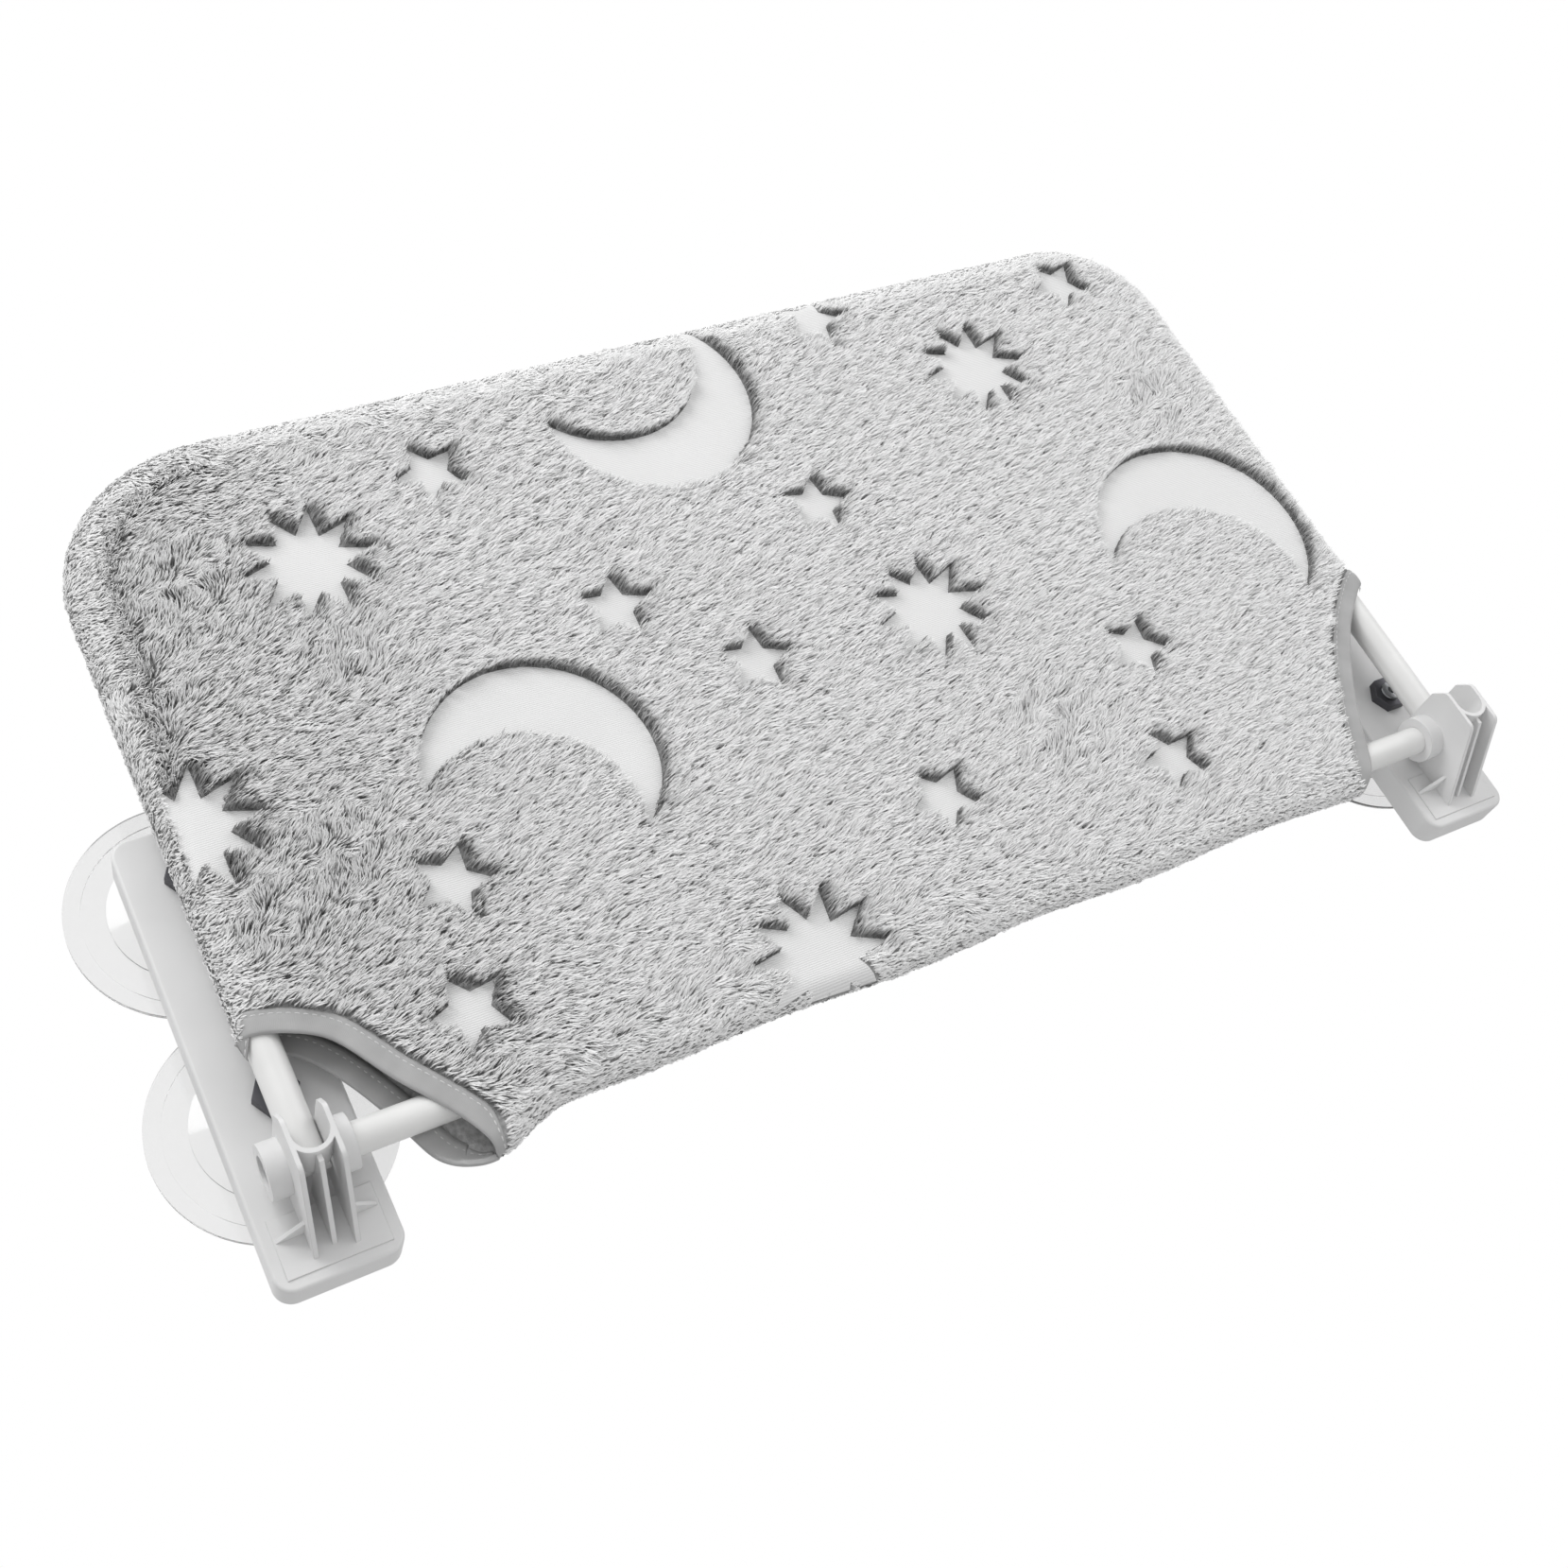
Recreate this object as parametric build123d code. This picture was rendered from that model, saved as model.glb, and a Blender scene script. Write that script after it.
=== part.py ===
from build123d import *
import os

# Sizes are in millimetres and angles in degrees. X runs along the window, Y goes into the glass
# and Z is up. The origin lies on the glass, in the middle of the four suction cups. The perch is
# folded up against the window.

# Rails, measured from the glass and from their lower end
rail_spacing = 600.0
rail_width = 52.0
rail_depth = 15.0
rail_reach = 30.0
rail_top_margin = 25.0
rail_corner_radius = 8.0
rail_edge_radius = 1.5
rail_wall = 2.4
rail_face_wall = 3.0
rail_rib_wall = 2.0
rail_rib_setback = 1.0
rail_rib_count = 7
foot_height = 30.0
foot_step = 0.5
foot_step_inset = 5.0

# Pivot, measured from the rail's room face and from its lower end
pivot_reach = 16.5
pivot_height = 43.0

# End bracket of each rail
slot_width = 14.6
cheek_wall = 2.0
cheek_reach = 45.0
cheek_foot_height = 9.0
cheek_front_height = 29.0
cheek_shoulder_height = 50.5
cheek_crown_reach = 37.0
cheek_top_height = 56.0
cheek_corner_radius = 4.0
trough_length = 20.0
trough_wall = 2.0
middle_rib_wall = 2.0
middle_rib_foot_height = 11.7
middle_rib_setback = 2.5
boss_radius = 11.5
boss_length = 8.1
gusset_wall = 2.0
gusset_width = 5.5
gusset_drop_share = 0.6
fin_wall = 1.8
fin_height = 21.0
fin_width = 11.4
fin_reach = 11.0

# Suction cups and their studs
cup_low_height = 77.0
cup_radius = 51.0
cup_gap = 2.0
cup_rim = 2.2
cup_lip = 7.0
cup_cavity_depth = 1.0
cup_ring_radius = 33.5
cup_ring_height = 3.2
cup_neck_radius = 13.0
cup_neck_height = 11.0
stud_radius = 5.0
stud_flange_radius = 9.0
stud_flange_thickness = 2.5
stud_flange_height = 7.0
stud_protrusion = 1.5
stud_socket_flats = 4.0
stud_socket_depth = 3.0
stud_hole_clearance = 0.2
stud_boss_radius = 9.5
nut_flats = 17.0
nut_height = 5.0

# Steel tube frame
tube_radius = 7.0
tube_wall = 1.0
frame_reach = 331.0
frame_bend_radius = 70.0
swage_length = 30.0
swage_shoulder = 4.0
swage_wall = 1.0
socket_clearance = 0.05

# Pivot pieces
running_clearance = 0.05
knuckle_length = 14.0
knuckle_spigot = 20.0
bolt_radius = 3.0
bolt_head_radius = 5.0
bolt_head_height = 3.5
bolt_socket_flats = 4.0
bolt_socket_depth = 2.0
bolt_plug_reach = 14.0
boss_recess = 4.5
plug_length = 20.0

# Cover, measured from the frame's middle plane and from the pivot
plush_thickness = 7.5
lining_thickness = 5.0
cover_clearance = 0.3
near_slack = 5.0
far_slack = 8.0
loose_corner_radius = 66.0
plush_edge_radius = 12.0
lining_edge_radius = 10.0
hollow_edge_radius = 7.0
near_corner_radius = 12.0
nut_hollow_wall = 2.2
nut_hollow_radius = 13.0
nut_hollow_flare = 6.0
left_opening_height = 58.0
left_opening_shoulder = 35.0
left_opening_width = 80.0
left_opening_radius = 33.0
right_opening_height = 93.0
right_opening_shoulder = 47.0
right_opening_width = 83.0
right_opening_radius = 60.0
binding_width = 9.0
binding_thickness = 2.6

overrun = 2.0

# Places that follow from the sizes
cup_spacing = 2 * cup_radius + cup_gap
rail_length = cup_low_height + cup_spacing + rail_top_margin
rail_face_y = -rail_reach
rail_back_y = rail_face_y + rail_depth
rail_low_z = -cup_low_height - cup_spacing / 2
rail_x = rail_spacing / 2
pivot_y = rail_face_y - pivot_reach
pivot_z = rail_low_z + pivot_height
tube_bore = tube_radius - tube_wall
socket_radius = tube_bore - socket_clearance
bore_radius = tube_radius + running_clearance
cheek_outer = slot_width / 2 + cheek_wall
boss_end = cheek_outer + boss_length
cover_hollow = tube_radius + cover_clearance
plush_height = cover_hollow + plush_thickness
lining_height = cover_hollow + lining_thickness
cover_half_width = rail_x + plush_height
cover_far_z = pivot_z + frame_reach + plush_height
cover_near_z = pivot_z - plush_height - near_slack


def window_plane(y):
    """A plane along the window at depth y, drawn in X and Z, whose normal points into the room."""
    return Plane(origin=(0, y, 0), x_dir=(1, 0, 0), z_dir=(0, -1, 0))


def bracket_plane(x):
    """A plane across the window, drawn as reach from the rail's face and height from its end."""
    return Plane(origin=(x, rail_face_y, rail_low_z), x_dir=(0, -1, 0), z_dir=(-1, 0, 0))


def shelf_plane(height):
    """A level plane, drawn in X and in reach from the rail's face."""
    return Plane(origin=(0, rail_face_y, rail_low_z + height), x_dir=(1, 0, 0), z_dir=(0, 0, -1))


def outline(points):
    """A face inside straight lines through the points."""
    return make_face(Polyline(*points, close=True))


def rod_x(radius, start, end, y=pivot_y, z=pivot_z):
    """A round bar along X from start to end, on the pivot axis unless told otherwise."""
    plane = Plane(origin=(start, y, z), x_dir=(0, 1, 0), z_dir=(1, 0, 0))
    return extrude(plane * Circle(radius), end - start)


def rod_y(radius, start, end, x, z):
    """A round bar along Y from start to end."""
    plane = Plane(origin=(x, start, z), x_dir=(1, 0, 0), z_dir=(0, 1, 0))
    return extrude(plane * Circle(radius), end - start)


def rail_plan(inset):
    """The rail's outline, drawn in by inset."""
    centre = Pos(0, rail_low_z + rail_length / 2)
    width = rail_width - 2 * inset
    length = rail_length - 2 * inset
    return centre * RectangleRounded(width, length, rail_corner_radius - inset)


def rail_shell():
    """The moulded plate, open towards the glass, with its rim rounded on the room side."""
    block = extrude(window_plane(rail_back_y) * rail_plan(0), rail_depth)
    block = fillet(block.faces().sort_by(Axis.Y)[0].edges(), rail_edge_radius)
    depth = rail_depth - rail_face_wall + overrun
    hollow = extrude(window_plane(rail_back_y + overrun) * rail_plan(rail_wall), depth)
    return block - hollow


def rail_ribs():
    """One rib along the rail and a row of ribs across it, a little below the open side."""
    back = rail_back_y - rail_rib_setback
    depth = rail_depth - rail_face_wall - rail_rib_setback
    ribs = Pos(0, rail_low_z + rail_length / 2) * Rectangle(rail_rib_wall, rail_length - rail_wall)
    pitch = rail_length / (rail_rib_count + 1)
    for number in range(rail_rib_count):
        height = rail_low_z + (number + 1) * pitch
        ribs += Pos(0, height) * Rectangle(rail_width - rail_wall, rail_rib_wall)
    return extrude(window_plane(back) * ribs, depth)


def cup_heights():
    """The heights of a rail's two cups."""
    return (-cup_spacing / 2, cup_spacing / 2)


def stud_bosses():
    """The rings that the cups' necks seat on, behind the rail's face."""
    inner = rail_face_y + rail_face_wall / 2
    low, high = cup_heights()
    rings = rod_y(stud_boss_radius, inner, rail_back_y, 0, low)
    return rings + rod_y(stud_boss_radius, inner, rail_back_y, 0, high)


def stud_holes():
    """The clearance holes for the two studs."""
    radius = stud_radius + stud_hole_clearance
    low, high = cup_heights()
    start = rail_face_y - overrun
    end = rail_back_y + overrun
    return rod_y(radius, start, end, 0, low) + rod_y(radius, start, end, 0, high)


def cheek(side):
    """One tapered cheek of the bracket, on one side of the arm's slot."""
    points = [
        (-rail_face_wall / 2, cheek_foot_height),
        (0, cheek_foot_height),
        (cheek_reach, cheek_front_height),
        (cheek_reach, cheek_shoulder_height),
        (cheek_crown_reach, cheek_top_height),
        (-rail_face_wall / 2, cheek_top_height),
    ]
    face = outline(points)
    front = face.vertices().sort_by(Axis.X)[-2:]
    face = fillet(front, cheek_corner_radius)
    middle = side * (slot_width + cheek_wall) / 2
    return extrude(bracket_plane(middle) * face, cheek_wall / 2, both=True)


def trough():
    """The half pipe at the front of the slot, which the arm lies in when the perch is open."""
    inner = slot_width / 2
    outer = inner + trough_wall
    ring = Circle(outer) - Circle(inner)
    ring -= Pos(0, outer / 2) * Rectangle(2 * outer, outer)
    start = rail_face_y - cheek_reach + trough_length
    return extrude(window_plane(start) * Pos(0, pivot_z) * ring, trough_length)


def middle_rib():
    """The rib between the cheeks, under the trough."""
    slope = (cheek_front_height - cheek_foot_height) / cheek_reach
    reach = cheek_reach - middle_rib_setback
    top = pivot_height - slot_width / 2 - trough_wall / 2
    points = [
        (-rail_face_wall / 2, middle_rib_foot_height),
        (0, middle_rib_foot_height),
        (reach, middle_rib_foot_height + slope * reach),
        (reach, top),
        (-rail_face_wall / 2, top),
    ]
    return extrude(bracket_plane(0) * outline(points), middle_rib_wall / 2, both=True)


def bosses():
    """The two ring bosses, one outside each cheek, on the pivot axis."""
    outer = rod_x(boss_radius, -boss_end, -slot_width / 2)
    return outer + rod_x(boss_radius, slot_width / 2, boss_end)


def gusset(side):
    """The small web that ties a boss to the plate, against the cheek."""
    inner = side * (cheek_outer - cheek_wall / 2)
    outer = side * (cheek_outer + gusset_width)
    points = [(inner, 0), (side * cheek_outer, 0), (outer, pivot_reach), (inner, pivot_reach)]
    height = pivot_height - boss_radius * gusset_drop_share
    return extrude(shelf_plane(height) * outline(points), gusset_wall / 2, both=True)


def fin(side):
    """A triangular fin that props a cheek near its foot."""
    inner = side * (cheek_outer - cheek_wall / 2)
    outer = side * (cheek_outer + fin_width)
    points = [
        (inner, -rail_face_wall / 2),
        (outer, -rail_face_wall / 2),
        (outer, 0),
        (side * cheek_outer, fin_reach),
        (inner, fin_reach),
    ]
    return extrude(shelf_plane(fin_height) * outline(points), fin_wall / 2, both=True)


def foot_pad():
    """The slightly raised foot of the plate, whose step shows on the face below the bracket."""
    width = rail_width - 2 * foot_step_inset
    height = foot_height - foot_step_inset
    plan = Pos(0, rail_low_z + foot_step_inset + height / 2) * Rectangle(width, height)
    return extrude(window_plane(rail_face_y + rail_edge_radius) * plan, rail_edge_radius + foot_step)


def rail():
    """A whole rail with its bracket, on X zero, with the outer boss on the low side of X."""
    body = rail_shell() + rail_ribs() + stud_bosses() + foot_pad()
    body += cheek(-1)
    body += cheek(1)
    body += trough()
    body += middle_rib()
    body += bosses()
    for side in (-1, 1):
        body += gusset(side)
        body += fin(side)
    body -= stud_holes()
    return body - rod_x(bore_radius, -boss_end - overrun, boss_end + overrun)


def stud():
    """A cup's stud: a flange that is moulded into the neck and a threaded shank."""
    flange_y = -stud_flange_height
    end_y = rail_face_y - nut_height - stud_protrusion
    flange = rod_y(stud_flange_radius, flange_y - stud_flange_thickness, flange_y, 0, 0)
    shank = rod_y(stud_radius, end_y, flange_y, 0, 0)
    hexagon = RegularPolygon(stud_socket_flats / 2, 6, major_radius=False)
    socket = extrude(window_plane(end_y + stud_socket_depth) * hexagon, stud_socket_depth + overrun)
    return flange + shank - socket


def cup():
    """A clear cup pressed flat on the glass: lip, stepped ring, flared neck, shallow cavity."""
    neck_end = rail_reach - rail_depth
    profile = [
        (0, -cup_cavity_depth),
        (cup_radius - cup_lip, -cup_cavity_depth),
        (cup_radius - cup_lip, 0),
        (cup_radius, 0),
        (cup_radius, -cup_rim),
        (cup_ring_radius, -cup_rim),
        (cup_ring_radius, -cup_ring_height),
        (cup_neck_radius, -cup_neck_height),
        (cup_neck_radius, -neck_end),
        (0, -neck_end),
    ]
    return revolve(outline(profile), Axis.Y) - stud_space()


def stud_space():
    """The space that a stud takes up in its cup."""
    flange_y = -stud_flange_height
    flange = rod_y(stud_flange_radius, flange_y - stud_flange_thickness, flange_y, 0, 0)
    return flange + rod_y(stud_radius, rail_back_y - overrun, flange_y, 0, 0)


def nut():
    """A thin hexagon nut on the rail's face."""
    hexagon = RegularPolygon(nut_flats / 2, 6, major_radius=False)
    blank = extrude(window_plane(rail_face_y) * hexagon, nut_height)
    thread = rod_y(stud_radius, rail_face_y - nut_height - overrun, rail_face_y + overrun, 0, 0)
    return blank - thread


def frame_path(end_x):
    """The centre line of the frame's left half, from the knuckle round the bend to end_x."""
    start = (-rail_x, pivot_z + knuckle_length)
    far_z = pivot_z + frame_reach
    corner = (-rail_x, far_z)
    path = FilletPolyline(start, corner, (end_x, far_z), radius=frame_bend_radius)
    return window_plane(pivot_y) * path


def frame_half():
    """One L shaped half of the frame, of round tube with a bend at the corner."""
    path = frame_path(0)
    start = Plane(origin=path @ 0, z_dir=path % 0)
    section = start * (Circle(tube_radius) - Circle(tube_bore))
    return sweep(section, path)


def swage():
    """The drawn-in end of the left half, which plugs into the right half."""
    bore = socket_radius - swage_wall
    far_z = pivot_z + frame_reach
    shoulder = rod_x(tube_radius, -swage_shoulder, 0, pivot_y, far_z)
    spigot = rod_x(socket_radius, -swage_shoulder, swage_length, pivot_y, far_z)
    spigot = chamfer(spigot.faces().sort_by(Axis.X)[-1].edges(), swage_wall / 2)
    hole = rod_x(bore, -swage_shoulder - overrun, swage_length + overrun, pivot_y, far_z)
    return shoulder + spigot - hole


def cross_tube():
    """The straight tube between the brackets, which turns in their inner bosses."""
    end = rail_x - slot_width / 2
    return rod_x(tube_radius, -end, end) - rod_x(tube_bore, -end - overrun, end + overrun)


def knuckle():
    """The solid lower end of an arm: rounded about the pivot, cross drilled, with a spigot."""
    plane = Plane(origin=(0, pivot_y, pivot_z - tube_radius), z_dir=(0, 0, 1))
    bar = extrude(plane * Circle(tube_radius), tube_radius + knuckle_length)
    side_view = Pos(pivot_reach, pivot_height) * Circle(tube_radius)
    middle = Pos(pivot_reach, pivot_height + knuckle_length / 2)
    side_view += middle * Rectangle(2 * tube_radius, knuckle_length)
    body = bar & extrude(bracket_plane(0) * side_view, 2 * tube_radius, both=True)
    top = Plane(origin=(0, pivot_y, pivot_z + knuckle_length), z_dir=(0, 0, 1))
    body += extrude(top * Circle(socket_radius), knuckle_spigot)
    hole = rod_x(bolt_radius + running_clearance, -tube_radius - overrun, tube_radius + overrun)
    return body - hole


def bush():
    """The bush that turns in the outer boss round the pivot bolt."""
    start = -boss_end + boss_recess
    end = -slot_width / 2
    hole = rod_x(bolt_radius + running_clearance, start - overrun, end + overrun)
    return rod_x(tube_radius, start, end) - hole


def pivot_bolt():
    """The bolt through bush and knuckle into the cross tube, with a socket head."""
    seat = -boss_end + boss_recess
    head = rod_x(bolt_head_radius, seat - bolt_head_height, seat)
    plane = Plane(origin=(seat - bolt_head_height, pivot_y, pivot_z), z_dir=(1, 0, 0))
    hexagon = RegularPolygon(bolt_socket_flats / 2, 6, major_radius=False)
    socket = extrude(plane * hexagon, bolt_socket_depth)
    return head + rod_x(bolt_radius, seat, slot_width / 2 + bolt_plug_reach) - socket


def plug():
    """The threaded plug in the end of the cross tube."""
    start = slot_width / 2
    body = rod_x(socket_radius, start, start + plug_length)
    return body - rod_x(bolt_radius, start - overrun, start + plug_length + overrun)


def round_corner(face, place, radius):
    """The face with its corner at a place rounded."""
    return fillet(face.vertices().sort_by_distance((*place, 0))[0], radius)


def cover_plan(inset):
    """The cover's outline, drawn in by inset: tight round the left bend, loose at the far right."""
    half_width = cover_half_width - inset
    far = cover_far_z - inset
    near = cover_near_z + inset
    loose = (half_width, far + far_slack)
    tight = (-half_width, far)
    plan = outline([(-half_width, near), (half_width, near), loose, tight])
    plan = fillet(plan.vertices().sort_by(Axis.Y)[:2], near_corner_radius)
    plan = round_corner(plan, tight, frame_bend_radius + plush_height - inset)
    return round_corner(plan, loose, loose_corner_radius - inset)


def half_sleeve(inset, height, edge_radius, side):
    """Half of a flat sleeve, from the frame's middle plane to one side, with its edge rounded."""
    block = extrude(window_plane(pivot_y) * cover_plan(inset), side * height)
    face = block.faces().sort_by(Axis.Y)[0 if side > 0 else -1]
    return fillet(face.edges(), edge_radius)


def opening_plan(side, grow):
    """A corner opening: level over the arm, rounded, then slanting to the near edge."""
    left = side < 0
    height = left_opening_height if left else right_opening_height
    shoulder = left_opening_shoulder if left else right_opening_shoulder
    width = left_opening_width if left else right_opening_width
    radius = left_opening_radius if left else right_opening_radius
    outer = cover_half_width + overrun + binding_width
    top = (cover_half_width - shoulder, pivot_z + height)
    foot = (cover_half_width - width, cover_near_z)
    slope = (foot[0] - top[0]) / (foot[1] - top[1])
    low = cover_near_z - overrun - binding_width
    points = [
        (side * outer, top[1]),
        (side * top[0], top[1]),
        (side * (top[0] + slope * (low - top[1])), low),
        (side * outer, low),
    ]
    face = round_corner(outline(points), (side * top[0], top[1]), radius)
    if grow:
        face = offset(face, grow, kind=Kind.INTERSECTION)
    return face


def openings(grow):
    """Both corner openings of the cover, widened by grow, right through its thickness."""
    depth = plush_height + overrun
    plane = window_plane(pivot_y)
    return [extrude(plane * opening_plan(side, grow), depth, both=True) for side in (-1, 1)]


def nut_hollows():
    """Flared hollows pressed into the lower layer over the two upper nuts."""
    start = pivot_y + cover_hollow + nut_hollow_wall
    end = pivot_y + lining_height + overrun
    hollows = []
    for x in (-rail_x, rail_x):
        plane = Plane(origin=(x, start, cup_spacing / 2), z_dir=(0, 1, 0))
        far = Plane(origin=(x, end, cup_spacing / 2), z_dir=(0, 1, 0))
        mouth = nut_hollow_radius + nut_hollow_flare
        hollows.append(loft([plane * Circle(nut_hollow_radius), far * Circle(mouth)]))
    return hollows


def cover_layer(side):
    """One layer of the cover, inside its bindings: the plush side at 1, the glass side at -1."""
    height = plush_height if side > 0 else lining_height
    edge = plush_edge_radius if side > 0 else lining_edge_radius
    layer = half_sleeve(0, height, edge, side)
    layer -= half_sleeve(plush_thickness, cover_hollow, hollow_edge_radius, side)
    for opening in openings(binding_width):
        layer -= opening
    if side < 0:
        for hollow in nut_hollows():
            layer -= hollow
    return layer


def bindings(side):
    """The tapes that bind one layer's two openings, left one first."""
    inset = plush_thickness - binding_thickness
    band = half_sleeve(inset, cover_hollow + binding_thickness, hollow_edge_radius, side)
    band -= half_sleeve(plush_thickness, cover_hollow, hollow_edge_radius, side)
    strips = []
    for wide, narrow in zip(openings(binding_width), openings(0)):
        strips.append((band & wide) - narrow)
    return strips


def write(name, shape):
    """Writes one piece, or one row of like pieces, under its name."""
    solids = shape.solids()
    whole = solids[0] if len(solids) == 1 else Compound(solids)
    export_step(whole, "parts/" + name + ".step")
    print(name, len(solids))


os.makedirs("parts", exist_ok=True)

left_rail = Pos(-rail_x, 0, 0) * rail()
write("left_rail", left_rail)
write("right_rail", mirror(left_rail, Plane.YZ))

for row, z in zip(("lower", "upper"), cup_heights()):
    for column, x in (("left", -rail_x), ("right", rail_x)):
        place = Pos(x, 0, z)
        write("suction_cup_" + row + "_" + column, place * cup())
        write("stud_" + row + "_" + column, place * stud())
        write("nut_" + row + "_" + column, place * nut())

left_half = frame_half()
write("frame_tube_left", left_half + swage())
write("frame_tube_right", mirror(left_half, Plane.YZ))
write("cross_tube", cross_tube())

pivot_pieces = {
    "arm_knuckle": knuckle(),
    "pivot_bush": bush(),
    "pivot_bolt": pivot_bolt(),
    "tube_plug": plug(),
}
for name, piece in pivot_pieces.items():
    left_piece = Pos(-rail_x, 0, 0) * piece
    write(name + "_left", left_piece)
    write(name + "_right", mirror(left_piece, Plane.YZ))

write("cover_upper_layer", cover_layer(1))
write("cover_lower_layer", cover_layer(-1))
for row, side in (("upper", 1), ("lower", -1)):
    for column, strip in zip(("left", "right"), bindings(side)):
        write("binding_" + row + "_" + column, strip)
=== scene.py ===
# %% [markdown]
# # A cat perch that folds up against a window
#
# The real object is a loop of coated steel tube that pivots on two moulded rails. Each rail holds on
# to the glass with two clear suction cups, and a plush sleeve is pulled over the tubes. The hard
# pieces come ready made, at their true size and place. This lesson gives them their finishes, and
# then sews the sleeve: two layers of cloth, their bindings and stitches, the pressed pattern and the
# pile.

import math

import bpy
import numpy as np
from mathutils import Matrix, Vector
from mathutils.geometry import delaunay_2d_cdt


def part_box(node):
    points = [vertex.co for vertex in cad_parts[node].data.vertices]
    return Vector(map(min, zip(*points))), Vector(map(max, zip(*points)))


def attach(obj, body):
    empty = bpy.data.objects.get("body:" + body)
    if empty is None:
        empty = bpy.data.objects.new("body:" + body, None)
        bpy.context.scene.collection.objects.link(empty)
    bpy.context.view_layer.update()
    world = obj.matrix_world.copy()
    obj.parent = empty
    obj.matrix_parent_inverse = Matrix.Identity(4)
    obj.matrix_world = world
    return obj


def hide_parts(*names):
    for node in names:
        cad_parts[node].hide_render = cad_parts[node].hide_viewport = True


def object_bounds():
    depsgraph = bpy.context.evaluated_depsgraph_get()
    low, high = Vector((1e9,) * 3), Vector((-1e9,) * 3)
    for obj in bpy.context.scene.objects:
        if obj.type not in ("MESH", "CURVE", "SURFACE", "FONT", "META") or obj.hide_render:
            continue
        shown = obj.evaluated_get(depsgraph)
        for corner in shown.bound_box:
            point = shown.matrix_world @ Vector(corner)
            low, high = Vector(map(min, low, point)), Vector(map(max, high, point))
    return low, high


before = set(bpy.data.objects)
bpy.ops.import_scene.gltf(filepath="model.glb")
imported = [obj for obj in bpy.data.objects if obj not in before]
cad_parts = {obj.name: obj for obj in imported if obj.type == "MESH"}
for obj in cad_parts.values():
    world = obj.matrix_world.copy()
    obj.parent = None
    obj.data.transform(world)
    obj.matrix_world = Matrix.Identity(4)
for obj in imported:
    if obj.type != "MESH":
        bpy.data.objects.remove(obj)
cad_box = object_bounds()

# %% [markdown]
# All lengths in a Blender scene are metres here, but a maker thinks in millimetres. So one value
# turns millimetres into metres, and the main sizes are read from the hard pieces themselves: the
# tube's radius, the pivot's place, the arm's place and the outline of the cover.

# %% Sizes read from the frame
mm = 0.001
tube_low, tube_high = (np.array(corner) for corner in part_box("cross_tube"))
tube_radius = (tube_high[2] - tube_low[2]) / 2
pivot_y = (tube_high[1] + tube_low[1]) / 2
pivot_z = (tube_high[2] + tube_low[2]) / 2
cover_low, cover_high = (np.array(corner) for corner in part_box("cover_upper_layer"))
far_z = cover_high[2]
near_z = cover_low[2]
rail_low, rail_high = (np.array(corner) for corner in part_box("left_rail"))
arm_x = -(rail_low[0] + rail_high[0]) / 2
print("tube", round(2 * tube_radius / mm, 1), "cover", round(2 * cover_high[0] / mm), "mm wide")


# %% [markdown]
# Colours are written as the hex values that a paint program shows, which are sRGB. Blender mixes
# light in linear values, so one function does the change. A second small function adds a shader
# node with its settings and its links, and every material below is built with it.

# %% Colour and node helpers
def linear(hex_colour):
    """The linear colour of an sRGB hex value."""
    shares = [int(hex_colour[i : i + 2], 16) / 255 for i in (1, 3, 5)]
    return [s / 12.92 if s <= 0.04045 else ((s + 0.055) / 1.055) ** 2.4 for s in shares] + [1.0]


def add(tree, kind, inputs=None, **settings):
    """Adds a node. inputs maps a socket's name or number to a value or to an output to link."""
    node = tree.nodes.new(kind)
    for name, value in settings.items():
        setattr(node, name, value)
    for name, value in (inputs or {}).items():
        if isinstance(value, bpy.types.NodeSocket):
            tree.links.new(value, node.inputs[name])
        else:
            node.inputs[name].default_value = value
    return node


def start_material(name, colour, roughness, **more):
    """A new material with a Principled shader. more sets its other sockets, by their names."""
    material = bpy.data.materials.new(name)
    material.use_nodes = True
    tree = material.node_tree
    shader = tree.nodes["Principled BSDF"]
    shader.inputs["Base Color"].default_value = linear(colour)
    shader.inputs["Roughness"].default_value = roughness
    for socket, value in more.items():
        shader.inputs[socket.replace("_", " ")].default_value = value
    return material, tree, shader


def set_ramp(node, stops):
    """Gives a Color Ramp its stops, from (place, hex colour) pairs."""
    elements = node.color_ramp.elements
    while len(elements) < len(stops):
        elements.new(0.5)
    for element, (place, colour) in zip(elements, stops):
        element.position = place
        element.color = linear(colour)
    return node


def wave_scale(pitch):
    """The Wave texture's Scale that gives bands at this pitch: it draws 20 radians per unit."""
    return 2 * math.pi / (20 * pitch)


# %% [markdown]
# ## Moulded ABS
#
# The rails are ABS, pressed into a steel mould and dyed through in light grey. The mould's faces are
# fine ground, so the plastic has a soft sheen and a very faint grain, and flow leaves slow, slight
# changes in its tone. Edges look rounded because a mould never gives a knife edge: the Bevel node
# rounds the shading there.

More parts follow.
